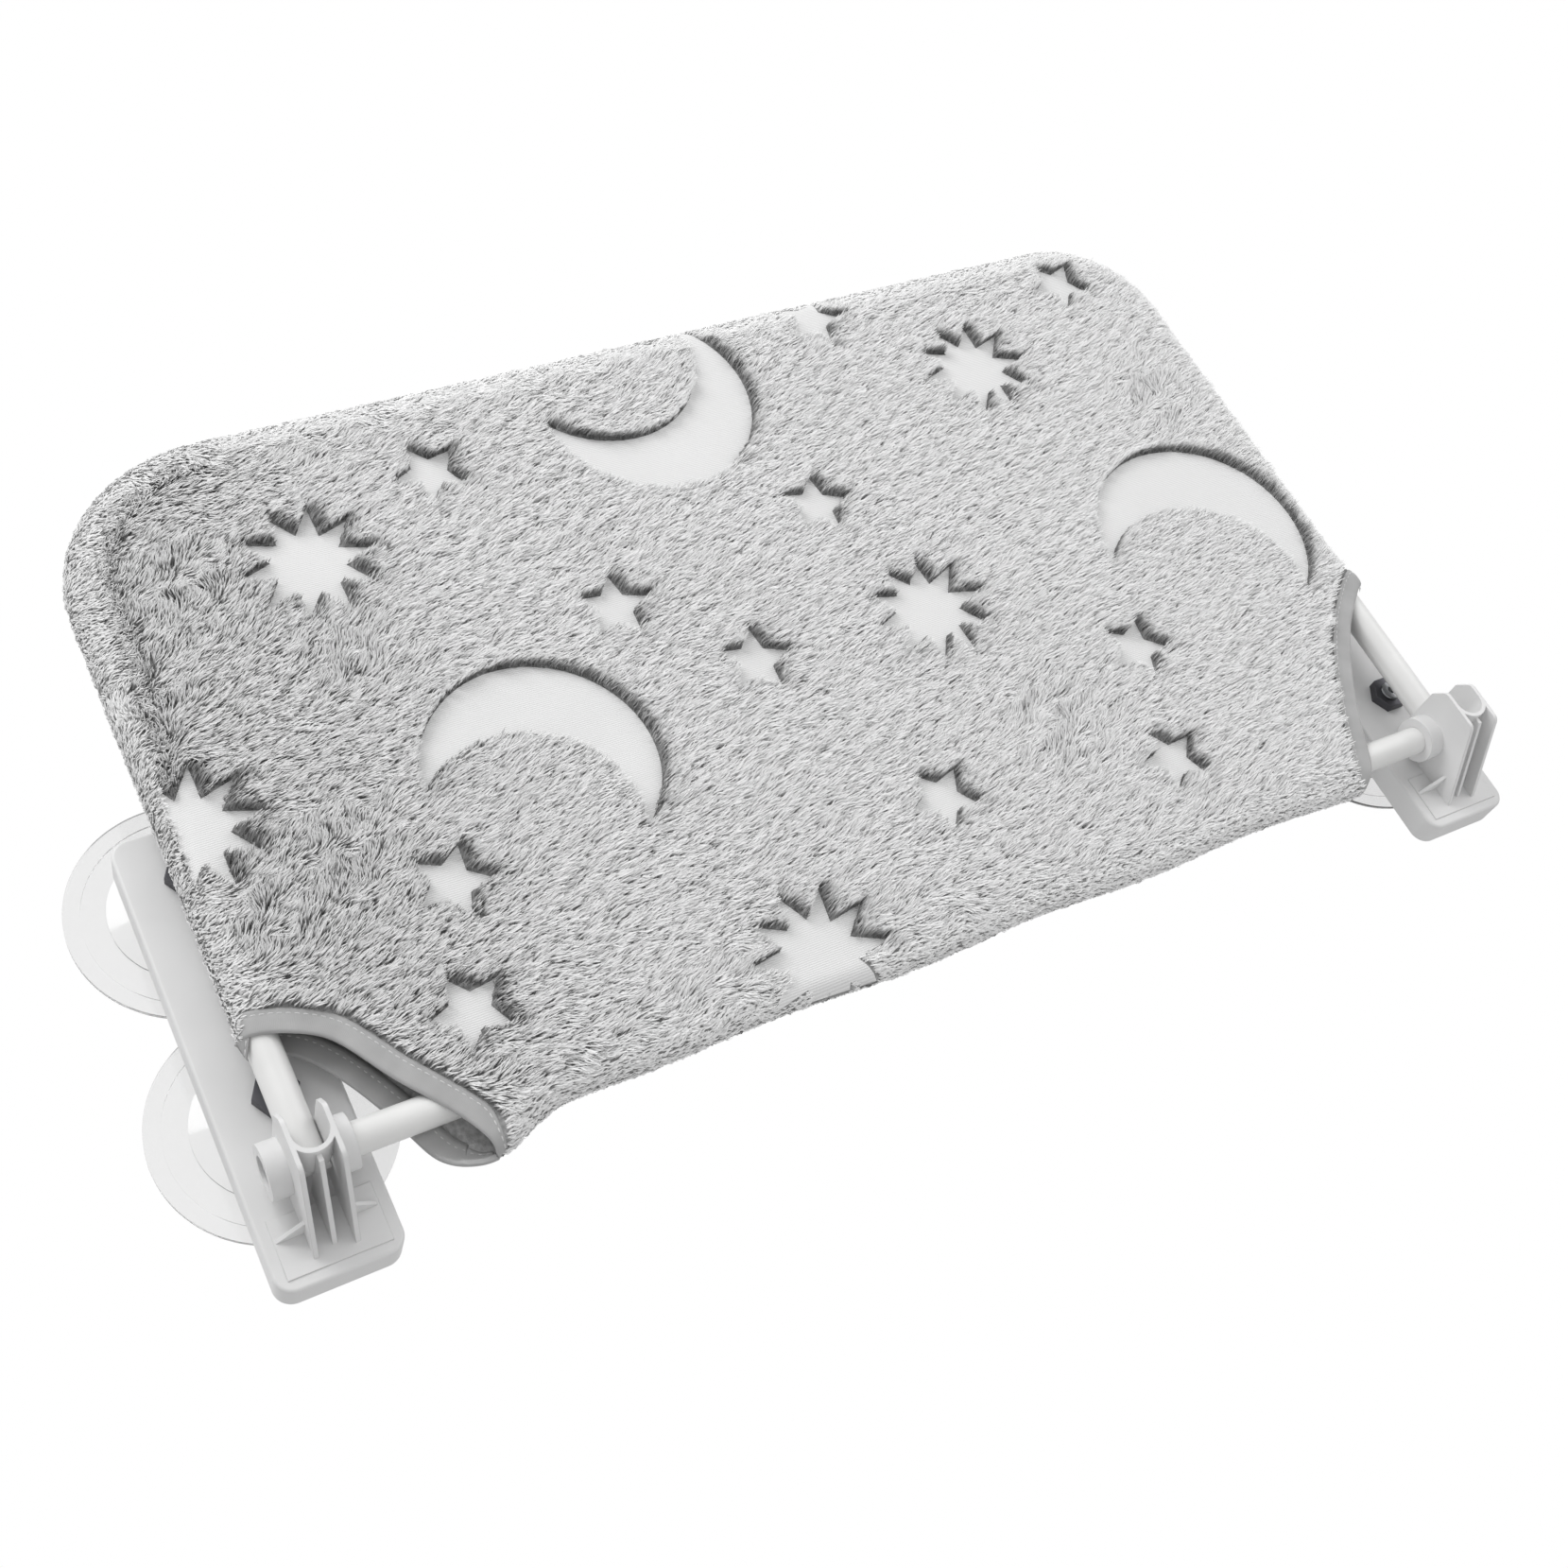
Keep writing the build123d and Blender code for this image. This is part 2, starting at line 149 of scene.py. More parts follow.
# %% ABS material
def make_abs():
    material, tree, shader = start_material("moulded ABS, light grey", "#E0E0E0", 0.42, IOR=1.53)
    place = add(tree, "ShaderNodeTexCoord").outputs["Object"]
    flow = add(tree, "ShaderNodeTexNoise", {"Vector": place, "Scale": 1 / (45 * mm), "Detail": 3.0})
    tone = set_ramp(
        add(tree, "ShaderNodeValToRGB", {"Fac": flow.outputs["Fac"]}),
        [(0.3, "#DCDCDC"), (0.7, "#E4E4E4")],
    )
    tree.links.new(tone.outputs["Color"], shader.inputs["Base Color"])
    grain = add(tree, "ShaderNodeTexNoise", {"Vector": place, "Scale": 1 / (0.5 * mm), "Detail": 2.0})
    edge = add(tree, "ShaderNodeBevel", {"Radius": 0.5 * mm}, samples=4)
    bump = add(
        tree,
        "ShaderNodeBump",
        {"Height": grain.outputs["Fac"], "Normal": edge.outputs[0], "Strength": 0.12, "Distance": 0.1 * mm},
    )
    tree.links.new(bump.outputs["Normal"], shader.inputs["Normal"])
    sheen = add(
        tree,
        "ShaderNodeMapRange",
        {"Value": flow.outputs["Fac"], "To Min": 0.36, "To Max": 0.5},
    )
    tree.links.new(sheen.outputs["Result"], shader.inputs["Roughness"])
    return material


abs_grey = make_abs()
print("made", abs_grey.name)

# %% [markdown]
# ## Powder coated steel
#
# The tubes are thin steel with a white powder coat. The powder melts and flows in the oven, and
# leaves orange peel: shallow waves about a millimetre across under a fairly glossy skin. It's a
# coat of paint, so it isn't metallic.

# %% Powder coat material
def make_powder_coat():
    material, tree, shader = start_material("powder coated steel, white", "#E6E6E6", 0.3, IOR=1.5)
    place = add(tree, "ShaderNodeTexCoord").outputs["Object"]
    peel = add(tree, "ShaderNodeTexNoise", {"Vector": place, "Scale": 1 / (1.1 * mm), "Detail": 1.5})
    bump = add(
        tree, "ShaderNodeBump", {"Height": peel.outputs["Fac"], "Strength": 0.16, "Distance": 0.1 * mm}
    )
    tree.links.new(bump.outputs["Normal"], shader.inputs["Normal"])
    cloud = add(tree, "ShaderNodeTexNoise", {"Vector": place, "Scale": 1 / (30 * mm), "Detail": 2.0})
    tone = set_ramp(
        add(tree, "ShaderNodeValToRGB", {"Fac": cloud.outputs["Fac"]}),
        [(0.35, "#E2E2E1"), (0.65, "#E9E9E8")],
    )
    tree.links.new(tone.outputs["Color"], shader.inputs["Base Color"])
    return material


powder_white = make_powder_coat()
print("made", powder_white.name)

# %% [markdown]
# ## Clear soft vinyl
#
# The cups are plasticised PVC, clear and slightly milky, cast in a polished mould. PVC bends light
# with an IOR of 1.53. A little haze, which differs from place to place, keeps the white room from
# showing sharp through it.

# %% Vinyl material
def make_vinyl():
    material, tree, shader = start_material(
        "clear plasticised PVC", "#F0F0F0", 0.07, IOR=1.53, Transmission_Weight=0.93
    )
    place = add(tree, "ShaderNodeTexCoord").outputs["Object"]
    haze = add(tree, "ShaderNodeTexNoise", {"Vector": place, "Scale": 1 / (9 * mm), "Detail": 3.0})
    spread = add(
        tree, "ShaderNodeMapRange", {"Value": haze.outputs["Fac"], "To Min": 0.04, "To Max": 0.16}
    )
    tree.links.new(spread.outputs["Result"], shader.inputs["Roughness"])
    return material


clear_vinyl = make_vinyl()
print("made", clear_vinyl.name)


# %% [markdown]
# ## Steel fasteners
#
# The nuts are steel with a black oxide skin, which is dark and only half glossy. The studs and pivot
# bolts are zinc plated and bright. All are metals, so the metallic value is 1 and the IOR stays as
# Blender has it. The studs' thread is M10, with a pitch of 1.5 mm. It is fine enough to be drawn as
# grooves in the material alone.

# %% Fastener materials
def make_steel(name, colour, low, high):
    material, tree, shader = start_material(name, colour, low, Metallic=1.0)
    place = add(tree, "ShaderNodeTexCoord").outputs["Object"]
    wear = add(tree, "ShaderNodeTexNoise", {"Vector": place, "Scale": 1 / (1.5 * mm), "Detail": 4.0})
    rough = add(
        tree, "ShaderNodeMapRange", {"Value": wear.outputs["Fac"], "To Min": low, "To Max": high}
    )
    tree.links.new(rough.outputs["Result"], shader.inputs["Roughness"])
    edge = add(tree, "ShaderNodeBevel", {"Radius": 0.4 * mm}, samples=4)
    bump = add(
        tree,
        "ShaderNodeBump",
        {"Height": wear.outputs["Fac"], "Normal": edge.outputs[0], "Strength": 0.1, "Distance": 0.1 * mm},
    )
    tree.links.new(bump.outputs["Normal"], shader.inputs["Normal"])
    return material


def cut_thread(material, pitch):
    """Adds the grooves of a thread along Y to a steel, under the bump that it has."""
    tree = material.node_tree
    place = add(tree, "ShaderNodeTexCoord").outputs["Object"]
    bands = {"Vector": place, "Scale": wave_scale(pitch)}
    groove = add(tree, "ShaderNodeTexWave", bands, bands_direction="Y")
    shader = tree.nodes["Principled BSDF"]
    before = shader.inputs["Normal"].links[0].from_socket
    bump = add(
        tree,
        "ShaderNodeBump",
        {"Height": groove.outputs["Fac"], "Normal": before, "Strength": 1.0, "Distance": 0.5 * mm},
    )
    tree.links.new(bump.outputs["Normal"], shader.inputs["Normal"])


black_oxide = make_steel("steel, black oxide", "#5C5C60", 0.35, 0.55)
zinc_plate = make_steel("steel, zinc plated", "#A9ABAD", 0.22, 0.4)
thread_pitch = 1.5 * mm
zinc_thread = make_steel("steel, zinc plated thread", "#A9ABAD", 0.22, 0.4)
cut_thread(zinc_thread, thread_pitch)
print("made", black_oxide.name, "and", zinc_plate.name, "and", zinc_thread.name)

# %% [markdown]
# Each hard piece keeps its own mesh and gets the finish of its kind. The names of the pieces say
# which is which, so a short table is enough.

# %% Dress the hard pieces
finishes = {
    "left_rail": abs_grey,
    "right_rail": abs_grey,
    "pivot_bush": abs_grey,
    "tube_plug": abs_grey,
    "suction_cup": clear_vinyl,
    "stud": zinc_thread,
    "pivot_bolt": zinc_plate,
    "nut": black_oxide,
    "frame_tube": powder_white,
    "cross_tube": powder_white,
    "arm_knuckle": powder_white,
}
dressed = 0
for name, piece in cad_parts.items():
    for start, material in finishes.items():
        if name.startswith(start):
            for place in piece.material_slots:
                place.material = material
            dressed += 1
print("dressed", dressed, "hard pieces")

# %% [markdown]
# ## The sleeve's shape
#
# The sleeve is two layers of knitted cloth, sewn together along the far edge, the sides and the near
# edge, with a scooped opening at each near corner for the arm and the cross tube. It is pulled tight
# over the tubes. So each layer is flat between the tubes and rolls over them at the edges, in a
# quarter circle that ends at the seam. The pile stands on the cloth's ground, so the ground lies a
# few millimetres inside the hard cover's outline. Only at the far right it is pulled up past it.
#
# The plan is one sheet of squares whose sides follow the openings, and whose far corners are bent
# round. The distance from the rolled edge then gives each point its height.

# %% Sizes of the sleeve
# The ground's outer face lies this far from the middles of the tubes
ground = tube_radius + 1.4 * mm
side_x = arm_x + ground
near_edge = near_z + 4.5 * mm
far_tube_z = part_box("frame_tube_left")[1][2] - tube_radius
left_far_edge = far_tube_z + ground
right_far_edge = far_z + 1.0 * mm
left_far_radius = 79 * mm
right_far_radius = 57 * mm
near_radius = 9 * mm
print("far edge", round(left_far_edge / mm, 1), "to", round(right_far_edge / mm, 1))


# %% [markdown]
# A pulled cloth is never quite straight. The far edge rises to the right, the near edge waves a
# little, the left foot droops where the tapes are sewn together, and the right side flares out at
# the top of its opening. These small moves are one shift of the plan, which can also be undone.

# %% Smooth hills and steps
def hill(value, middle, reach):
    """A smooth hill of height 1 over the middle, which has died away at twice the reach."""
    return np.exp(-(((value - middle) / reach) ** 2))


def ease(value):
    """From 0 to 1 with a smooth start and end, as the value goes from 0 to 1."""
    value = np.clip(value, 0, 1)
    return value * value * (3 - 2 * value)


print("halfway up a step is", ease(0.5))

# %% Shift of the plan
far_pull_start, far_pull_fade = 110 * mm, 140 * mm
near_pull_fade = 70 * mm
near_wave, near_wave_step = 1.1 * mm, 21 * mm
near_sag, near_sag_x, near_sag_reach = 1.0 * mm, -60 * mm, 120 * mm
foot_droop, foot_x, foot_reach, foot_fade = 13.5 * mm, -235 * mm, 23 * mm, 45 * mm
flare, flare_x, flare_fade = 5 * mm, 280 * mm, 30 * mm
flare_z, flare_reach = 8 * mm, 9 * mm
undo_steps = 3


def pull(x, z):
    """How far the pulled cloth lies from the plain plan, along x and z."""
    far = ease((z - far_pull_start) / far_pull_fade)
    near = ease((near_edge + near_pull_fade - z) / near_pull_fade)
    foot = ease((near_edge + foot_fade - z) / foot_fade)
    up = (right_far_edge - left_far_edge) * far * (x + side_x) / (2 * side_x)
    wave = near_wave * np.sin(x / near_wave_step) - near_sag * hill(x, near_sag_x, near_sag_reach)
    up = up + near * wave
    up = up - foot_droop * foot * hill(x, foot_x, foot_reach)
    wing = ease((x - flare_x) / flare_fade) * hill(z, flare_z, flare_reach)
    return flare * wing, up


def pulled(x, z):
    """Points of the plain plan moved to where the pulled cloth has them."""
    across, up = pull(x, z)
    return x + across, z + up


def plain(x, z):
    """The plain plan's points for points of the pulled cloth, found in a few steps."""
    plain_x, plain_z = x, z
    for _ in range(undo_steps):
        across, up = pull(plain_x, plain_z)
        plain_x, plain_z = x - across, z - up
    return plain_x, plain_z


print("the left foot droops", round(-float(pull(foot_x, near_edge)[1]) / mm, 1), "mm")


# %% [markdown]
# Each opening's edge is drawn as a tailor marks it: a few points in millimetres, from the near edge
# to the side, and a smooth curve through them. On the left the lower layer is cut a little fuller
# than the upper one, so its inside shows. Two helpers come first, for curves and for even spacing.

# %% Lines through marks
curve_steps = 12


def run_length(points):
    """The distance along a line to each of its points."""
    return np.concatenate([[0], np.cumsum(np.linalg.norm(np.diff(points, axis=0), axis=1))])


def resample(points, count):
    """The same line with count points at even spacing, or at the given shares of its length."""
    along = run_length(points)
    shares = np.linspace(0, 1, count) if np.isscalar(count) else np.asarray(count)
    return np.stack([np.interp(shares * along[-1], along, column) for column in points.T], axis=1)


def smooth_line(marks):
    """A Catmull-Rom curve through the marks."""
    marks = np.array(marks, float) * mm
    ends = np.concatenate([[2 * marks[0] - marks[1]], marks, [2 * marks[-1] - marks[-2]]])
    share = np.linspace(0, 1, curve_steps, endpoint=False)[:, None]
    line = []
    for before, start, end, after in zip(ends, ends[1:], ends[2:], ends[3:]):
        bend = 2 * before - 5 * start + 4 * end - after
        twist = 3 * start - before - 3 * end + after
        line.append(start + 0.5 * (share * (end - before) + share**2 * bend + share**3 * twist))
    return np.concatenate(line + [marks[-1:]])


# %% Opening edges
opening_marks = {
    ("upper", "left"): [(-233, -115), (-234.5, -109), (-238, -101), (-243.5, -92.5), (-251, -82)]
    + [(-260, -70), (-275, -47.5), (-290, -38), (-304, -34), (-310, -33)],
    ("upper", "right"): [(229, -106), (241, -93), (251, -71), (264.5, -46), (282, -20.5)]
    + [(300, -2.5), (310, 5)],
    ("lower", "left"): [(-233, -115), (-236.5, -115), (-241.5, -114), (-247.5, -110), (-253.5, -103)]
    + [(-259, -91), (-263, -81), (-275, -59), (-288, -43), (-302, -36), (-310, -33)],
    ("lower", "right"): [(226, -106), (237, -93), (247, -71), (260.5, -46), (278, -20.5)]
    + [(298, -1.5), (310, 5)],
}
side_of = {"left": -1, "right": 1}
opening_points = 90


def opening_edge(marks, side):
    """An opening's edge on the pulled cloth, its ends exactly on the near edge and on the side."""
    line = smooth_line(marks)
    x, z = plain(line[:, 0], line[:, 1])
    z[0] = near_edge
    x[-1] = side * side_x
    line = resample(np.stack([x, np.maximum(z, near_edge)], axis=1), opening_points)
    return {"side": side, "plain": line, "curve": np.stack(pulled(line[:, 0], line[:, 1]), axis=1)}


openings = {}
for (layer, column), marks in opening_marks.items():
    openings[layer, column] = opening_edge(marks, side_of[column])
    ends = openings[layer, column]["curve"][[0, -1]]
    print("opening", layer, column, np.round(ends / mm).tolist())


# %% [markdown]
# How far a point lies inside the rolled edge shapes all that follows. It gives the roll its height,
# and later it tells where the pile is stroked flat. Between the tubes the cloth has some slack, so it
# sinks and waves there by a millimetre or two. The waves are sums of a few sines, which look like
# noise and are the same on each run.

# %% Distance and height
cloth_slack = 1.5 * mm
slack_start, slack_fade = 22 * mm, 60 * mm
slack_sink = 0.6
long_wave, long_wave_share = 150 * mm, 0.7
short_wave, short_wave_share = 60 * mm, 0.3
sine_count = 9
shortest_sine, longest_sine = 0.7, 1.6


def edge_distance(x, z):
    """How far inside the rolled edge a point of the pulled cloth lies."""
    x, z = plain(x, z)
    middle = (left_far_edge + near_edge) / 2
    far_radius = np.where(x < 0, left_far_radius, right_far_radius)
    radius = np.where(z > middle, far_radius, near_radius)
    across = np.abs(x) - (side_x - radius)
    along = np.abs(z - middle) - ((left_far_edge - near_edge) / 2 - radius)
    outside = np.hypot(np.maximum(across, 0), np.maximum(along, 0))
    return radius - outside - np.minimum(np.maximum(across, along), 0)


def smooth_noise(x, z, size, seed):
    """Slow waves of about the given size, mostly from -1 to 1."""
    rng = np.random.default_rng(seed)
    total = np.zeros_like(x)
    for _ in range(sine_count):
        angle = rng.uniform(0, 2 * math.pi)
        length = size * rng.uniform(shortest_sine, longest_sine)
        phase = rng.uniform(0, 2 * math.pi)
        total += np.sin((x * math.cos(angle) + z * math.sin(angle)) * 2 * math.pi / length + phase)
    return total / (sine_count / 2)


def layer_height(x, z):
    """The cloth's height over the frame's middle plane."""
    inside = np.clip(edge_distance(x, z), 0, None)
    roll = np.clip(inside, 0, ground)
    height = np.sqrt(np.clip(ground**2 - (ground - roll) ** 2, 0, None))
    free = np.clip((inside - slack_start) / slack_fade, 0, 1)
    waves = smooth_noise(x, z, long_wave, 3) * long_wave_share
    waves = waves + smooth_noise(x, z, short_wave, 5) * short_wave_share
    return height + cloth_slack * (waves * free - slack_sink * free)


# %% [markdown]
# Beside the left arm a crease runs along the cloth, where the pile is crushed. It lies well inside
# the edge at the far corner. Lower down it nears the edge, gets narrower and fades out.

# %% Side crease
crease_inset, crease_drift = 5 * mm, 12 * mm
crease_drift_start, crease_drift_fade = 20 * mm, 130 * mm
crease_width, crease_more_width = 2 * mm, 2 * mm
crease_width_start, crease_width_fade = 30 * mm, 60 * mm
crease_low_end, crease_low_fade = 15 * mm, 40 * mm
crease_side_x, crease_side_fade = -225 * mm, 25 * mm


def side_crease(x, z):
    """From 0 to 1, how deep in the crease beside the left arm a point lies."""
    middle = crease_inset + crease_drift * ease((z - crease_drift_start) / crease_drift_fade)
    width = crease_width + crease_more_width * ease((z - crease_width_start) / crease_width_fade)
    reach = ease((z - crease_low_end) / crease_low_fade) * ease((crease_side_x - x) / crease_side_fade)
    return hill(edge_distance(x, z), middle, width) * reach


# %% [markdown]
# The sheet's grid starts as a rectangle. Its left and right sides are the opening's curve and then
# the straight side, so its rows fan out gently above the openings. Blending the four sides in this
# way is called a Coons patch. The far corners are then bent from square to round, and the rows are
# set closer together at the edges, where the cloth rolls.

# %% The sheet's grid
sheet_pitch = 3.2 * mm
roll_steps = 8


def edge_shares(length, pitch, roll):
    """Shares from 0 to 1 along a length: fine steps over the roll at both ends, even between."""
    fine = roll * (1 - np.cos(np.linspace(0, math.pi / 2, roll_steps)))
    inner = np.linspace(roll, length - roll, int((length - 2 * roll) / pitch))
    return np.concatenate([fine[:-1], inner, (length - fine[::-1])[1:]]) / length


def round_far_corner(x, z, side, radius):
    """Bends one square far corner of the plan to a round one."""
    p = np.clip((side * x - (side_x - radius)) / radius, 0, 1)
    q = np.clip((z - (left_far_edge - radius)) / radius, 0, 1)
    both = (p > 0) & (q > 0)
    round_p = p * np.sqrt(1 - q * q / 2)
    round_q = q * np.sqrt(1 - p * p / 2)
    x = np.where(both, side * (side_x - radius + radius * round_p), x)
    z = np.where(both, left_far_edge - radius + radius * round_q, z)
    return x, z


def sheet_plan(layer):
    """A grid of plan points, rows from the near edge to the far edge, columns from left to right."""
    across = edge_shares(2 * side_x, sheet_pitch, ground)
    along = edge_shares(left_far_edge - near_edge, sheet_pitch, ground)
    sides = []
    for column in ("left", "right"):
        opening = openings[layer, column]
        corner = np.array([[opening["side"] * side_x, left_far_edge]])
        sides.append(resample(np.concatenate([opening["plain"], corner]), along))
    left, right = sides
    bottom = left[0] + (right[0] - left[0]) * across[:, None]
    top = left[-1] + (right[-1] - left[-1]) * across[:, None]
    u = across[None, :, None]
    v = along[:, None, None]
    grid = (1 - v) * bottom[None] + v * top[None] + (1 - u) * left[:, None] + u * right[:, None]
    corners = (1 - u) * (1 - v) * left[0] + u * (1 - v) * right[0] + (1 - u) * v * left[-1]
    grid = grid - corners - u * v * right[-1]
    x, z = round_far_corner(grid[..., 0], grid[..., 1], -1, left_far_radius)
    x, z = round_far_corner(x, z, 1, right_far_radius)
    return pulled(x, z)


plans = {layer: sheet_plan(layer) for layer in ("upper", "lower")}
print("sheet grid", plans["upper"][0].shape)


# %% Mesh helpers
def mesh_object(name, points, faces, material):
    """A smooth mesh object from points and faces, with its material."""
    mesh = bpy.data.meshes.new(name)
    mesh.from_pydata([tuple(p) for p in points], [], [tuple(f) for f in faces])
    mesh.materials.append(material)
    mesh.polygons.foreach_set("use_smooth", [True] * len(mesh.polygons))
    mesh.update()
    piece = bpy.data.objects.new(name, mesh)
    bpy.context.collection.objects.link(piece)
    return piece


def grid_faces(rows, columns):
    """Quads of a grid of points, by rows."""
    index = np.arange(rows * columns).reshape(rows, columns)
    a, b = index[:-1, :-1], index[:-1, 1:]
    c, d = index[1:, 1:], index[1:, :-1]
    return np.stack([a, b, c, d], axis=-1).reshape(-1, 4)


def solidify(piece, thickness, offset):
    """Gives a sheet its thickness: on its inner side at offset -1, and on both sides at 0."""
    modifier = piece.modifiers.new("thickness", "SOLIDIFY")
    modifier.thickness = thickness
    modifier.offset = offset


# %% [markdown]
# ## Knitted ground and pile
#
# Plush is a knitted ground with cut yarn standing in it. The pattern was made by pressing the pile
# away, so the moons, stars and suns are bare ground: fine knitted ribs, almost white. Under the pile
# the ground's colour is painted darker grey for the pile's shade, and the lower layer's ground, under
# its thinner pile, is painted lighter; its inside shows in the left opening. Pile yarn is polyester
# with a soft sheen, and its darker roots are painted shade.
#
# The knit's ribs are 1 mm apart, and the tape's weave is drawn at 0.6 mm, coarse enough to show.

# %% Cloth materials
def make_knit():
    material, tree, shader = start_material("knitted polyester ground, white", "#E8E8E8", 0.85)
    place = add(tree, "ShaderNodeTexCoord").outputs["Object"]
    rib = add(
        tree,
        "ShaderNodeTexWave",
        {"Vector": place, "Scale": wave_scale(1.0 * mm), "Distortion": 0.6, "Detail": 1.0},
        bands_direction="Z",
    )
    fuzz = add(tree, "ShaderNodeTexNoise", {"Vector": place, "Scale": 1 / (0.8 * mm), "Detail": 3.0})
    mix = add(
        tree, "ShaderNodeMath", {0: rib.outputs["Fac"], 1: fuzz.outputs["Fac"]}, operation="ADD"
    )
    bump = add(
        tree, "ShaderNodeBump", {"Height": mix.outputs[0], "Strength": 0.35, "Distance": 0.3 * mm}
    )
    tree.links.new(bump.outputs["Normal"], shader.inputs["Normal"])
    tone = set_ramp(
        add(tree, "ShaderNodeValToRGB", {"Fac": rib.outputs["Fac"]}),
        [(0.0, "#DDDDDD"), (1.0, "#EFEFEF")],
    )
    tree.links.new(tone.outputs["Color"], shader.inputs["Base Color"])
    shader.inputs["Sheen Weight"].default_value = 0.15
    return material


# The ground's grey is painted shade of the pile standing on it: the bare ground is almost white.
def make_shaded_ground(name, dark, light):
    material, tree, shader = start_material(name, dark, 0.9)
    place = add(tree, "ShaderNodeTexCoord").outputs["Object"]
    fuzz = add(tree, "ShaderNodeTexNoise", {"Vector": place, "Scale": 1 / (2 * mm), "Detail": 4.0})
    tone = set_ramp(
        add(tree, "ShaderNodeValToRGB", {"Fac": fuzz.outputs["Fac"]}),
        [(0.3, dark), (0.7, light)],
    )
    tree.links.new(tone.outputs["Color"], shader.inputs["Base Color"])
    bump = add(
        tree, "ShaderNodeBump", {"Height": fuzz.outputs["Fac"], "Strength": 0.6, "Distance": 0.8 * mm}
    )
    tree.links.new(bump.outputs["Normal"], shader.inputs["Normal"])
    return material


def make_pile():
    material, tree, shader = start_material("cut polyester pile, painted root shade", "#D8D8D8", 0.7)
    # The tip attribute's ramp is painted shade: dark at the roots, which the dense pile hides from the
    # light, and light at the tips.
    tip = add(tree, "ShaderNodeAttribute", attribute_name="tip")
    tone = set_ramp(
        add(tree, "ShaderNodeValToRGB", {"Fac": tip.outputs["Fac"]}),
        [(0.0, "#767676"), (0.14, "#B0B0B0"), (0.32, "#EEEEEE"), (1.0, "#FBFBFB")],
    )
    tree.links.new(tone.outputs["Color"], shader.inputs["Base Color"])
    shader.inputs["Sheen Weight"].default_value = 0.5
    shader.inputs["Sheen Roughness"].default_value = 0.5
    return material


def make_tape():
    material, tree, shader = start_material("woven polyester tape, grey", "#A8A8A8", 0.6)
    place = add(tree, "ShaderNodeTexCoord").outputs["UV"]
    weave = add(
        tree,
        "ShaderNodeTexWave",
        {"Vector": place, "Scale": wave_scale(0.6 * mm), "Distortion": 0.3, "Detail": 1.0},
        bands_direction="X",
    )
    bump = add(
        tree, "ShaderNodeBump", {"Height": weave.outputs["Fac"], "Strength": 0.2, "Distance": 0.2 * mm}
    )
    tree.links.new(bump.outputs["Normal"], shader.inputs["Normal"])
    shade = add(tree, "ShaderNodeTexNoise", {"Vector": place, "Scale": 1 / (14 * mm), "Detail": 2.0})
    tone = set_ramp(
        add(tree, "ShaderNodeValToRGB", {"Fac": shade.outputs["Fac"]}),
        [(0.3, "#A0A0A0"), (0.7, "#B0B0B0")],
    )
    tree.links.new(tone.outputs["Color"], shader.inputs["Base Color"])
    shader.inputs["Sheen Weight"].default_value = 0.2
    return material


def make_thread():
    material, tree, shader = start_material("polyester thread, light grey", "#CFCFCF", 0.5)
    place = add(tree, "ShaderNodeTexCoord").outputs["Object"]
    twist = add(tree, "ShaderNodeTexNoise", {"Vector": place, "Scale": 1 / (0.4 * mm), "Detail": 2.0})
    bump = add(
        tree, "ShaderNodeBump", {"Height": twist.outputs["Fac"], "Strength": 0.4, "Distance": 0.1 * mm}
    )
    tree.links.new(bump.outputs["Normal"], shader.inputs["Normal"])
    return material


knit_white = make_knit()
# Both grounds' greys are painted pile shade, lighter under the glass side's thinner pile.
pile_shaded_ground = make_shaded_ground("plush ground, painted pile shade", "#808080", "#AEAEAE")
lining_lighter_shade = make_shaded_ground("lining ground, less painted shade", "#A6A6A6", "#CCCCCC")
pile_shaded_roots = make_pile()
tape_grey = make_tape()
thread_grey = make_thread()
cloths = (knit_white, pile_shaded_ground, lining_lighter_shade, pile_shaded_roots, tape_grey, thread_grey)
print("made", ", ".join(cloth.name for cloth in cloths))

# %% [markdown]
# ## The two layers
#
# The upper layer faces the room. The lower layer faces the glass, where it is pressed in over the
# two nuts that it covers. Both are one grid lifted to its height, with the cloth's own thickness
# added on the inner side.

# %% Upper and lower cloth
cloth_thickness = 1.2 * mm
crease_depth = 1.5 * mm
press_depth = 0.75 * mm
press_reach, press_fade = 22 * mm, 9 * mm
nut_low, nut_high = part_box("nut_upper_left")
nut_z = nut_low[2] / 2 + nut_high[2] / 2


def nut_press(x, z):
    """From 0 to 1, how far the lower layer is pressed in over the nuts."""
    apart = np.hypot(np.abs(x) - arm_x, z - nut_z)
    return np.clip((press_reach - apart) / press_fade, 0, 1)


def upper_height(x, z):
    return layer_height(x, z) - crease_depth * side_crease(x, z)


def lower_height(x, z):
    return layer_height(x, z) - press_depth * nut_press(x, z)


# Each layer's height, and its side of the frame: -1 towards the room, 1 towards the glass
layers = {"upper": (upper_height, -1), "lower": (lower_height, 1)}


def layer_grid(layer):
    """The layer's grid of points, lifted from the plan to the cloth's height."""
    height, side = layers[layer]
    x, z = plans[layer]
    return np.stack([x, pivot_y + side * height(x, z), z], axis=-1)


def make_layer(name, layer, material):
    """One layer of cloth, its faces turned outwards."""
    points = layer_grid(layer)
    faces = grid_faces(*points.shape[:2])
    if layer == "lower":
        faces = faces[:, ::-1]
    piece = mesh_object(name, points.reshape(-1, 3), faces, material)
    solidify(piece, cloth_thickness, -1)
    return piece


plush_upper = make_layer("plush_upper", "upper", pile_shaded_ground)
plush_lower = make_layer("plush_lower", "lower", lining_lighter_shade)
for piece, node in ((plush_upper, "cover_upper_layer"), (plush_lower, "cover_lower_layer")):
    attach(piece, "frame")
    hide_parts(node)
print("cloth", len(plush_upper.data.polygons), "squares a layer")

# %% A place on the cloth
slope_step = 0.5 * mm
tiny = 1e-9


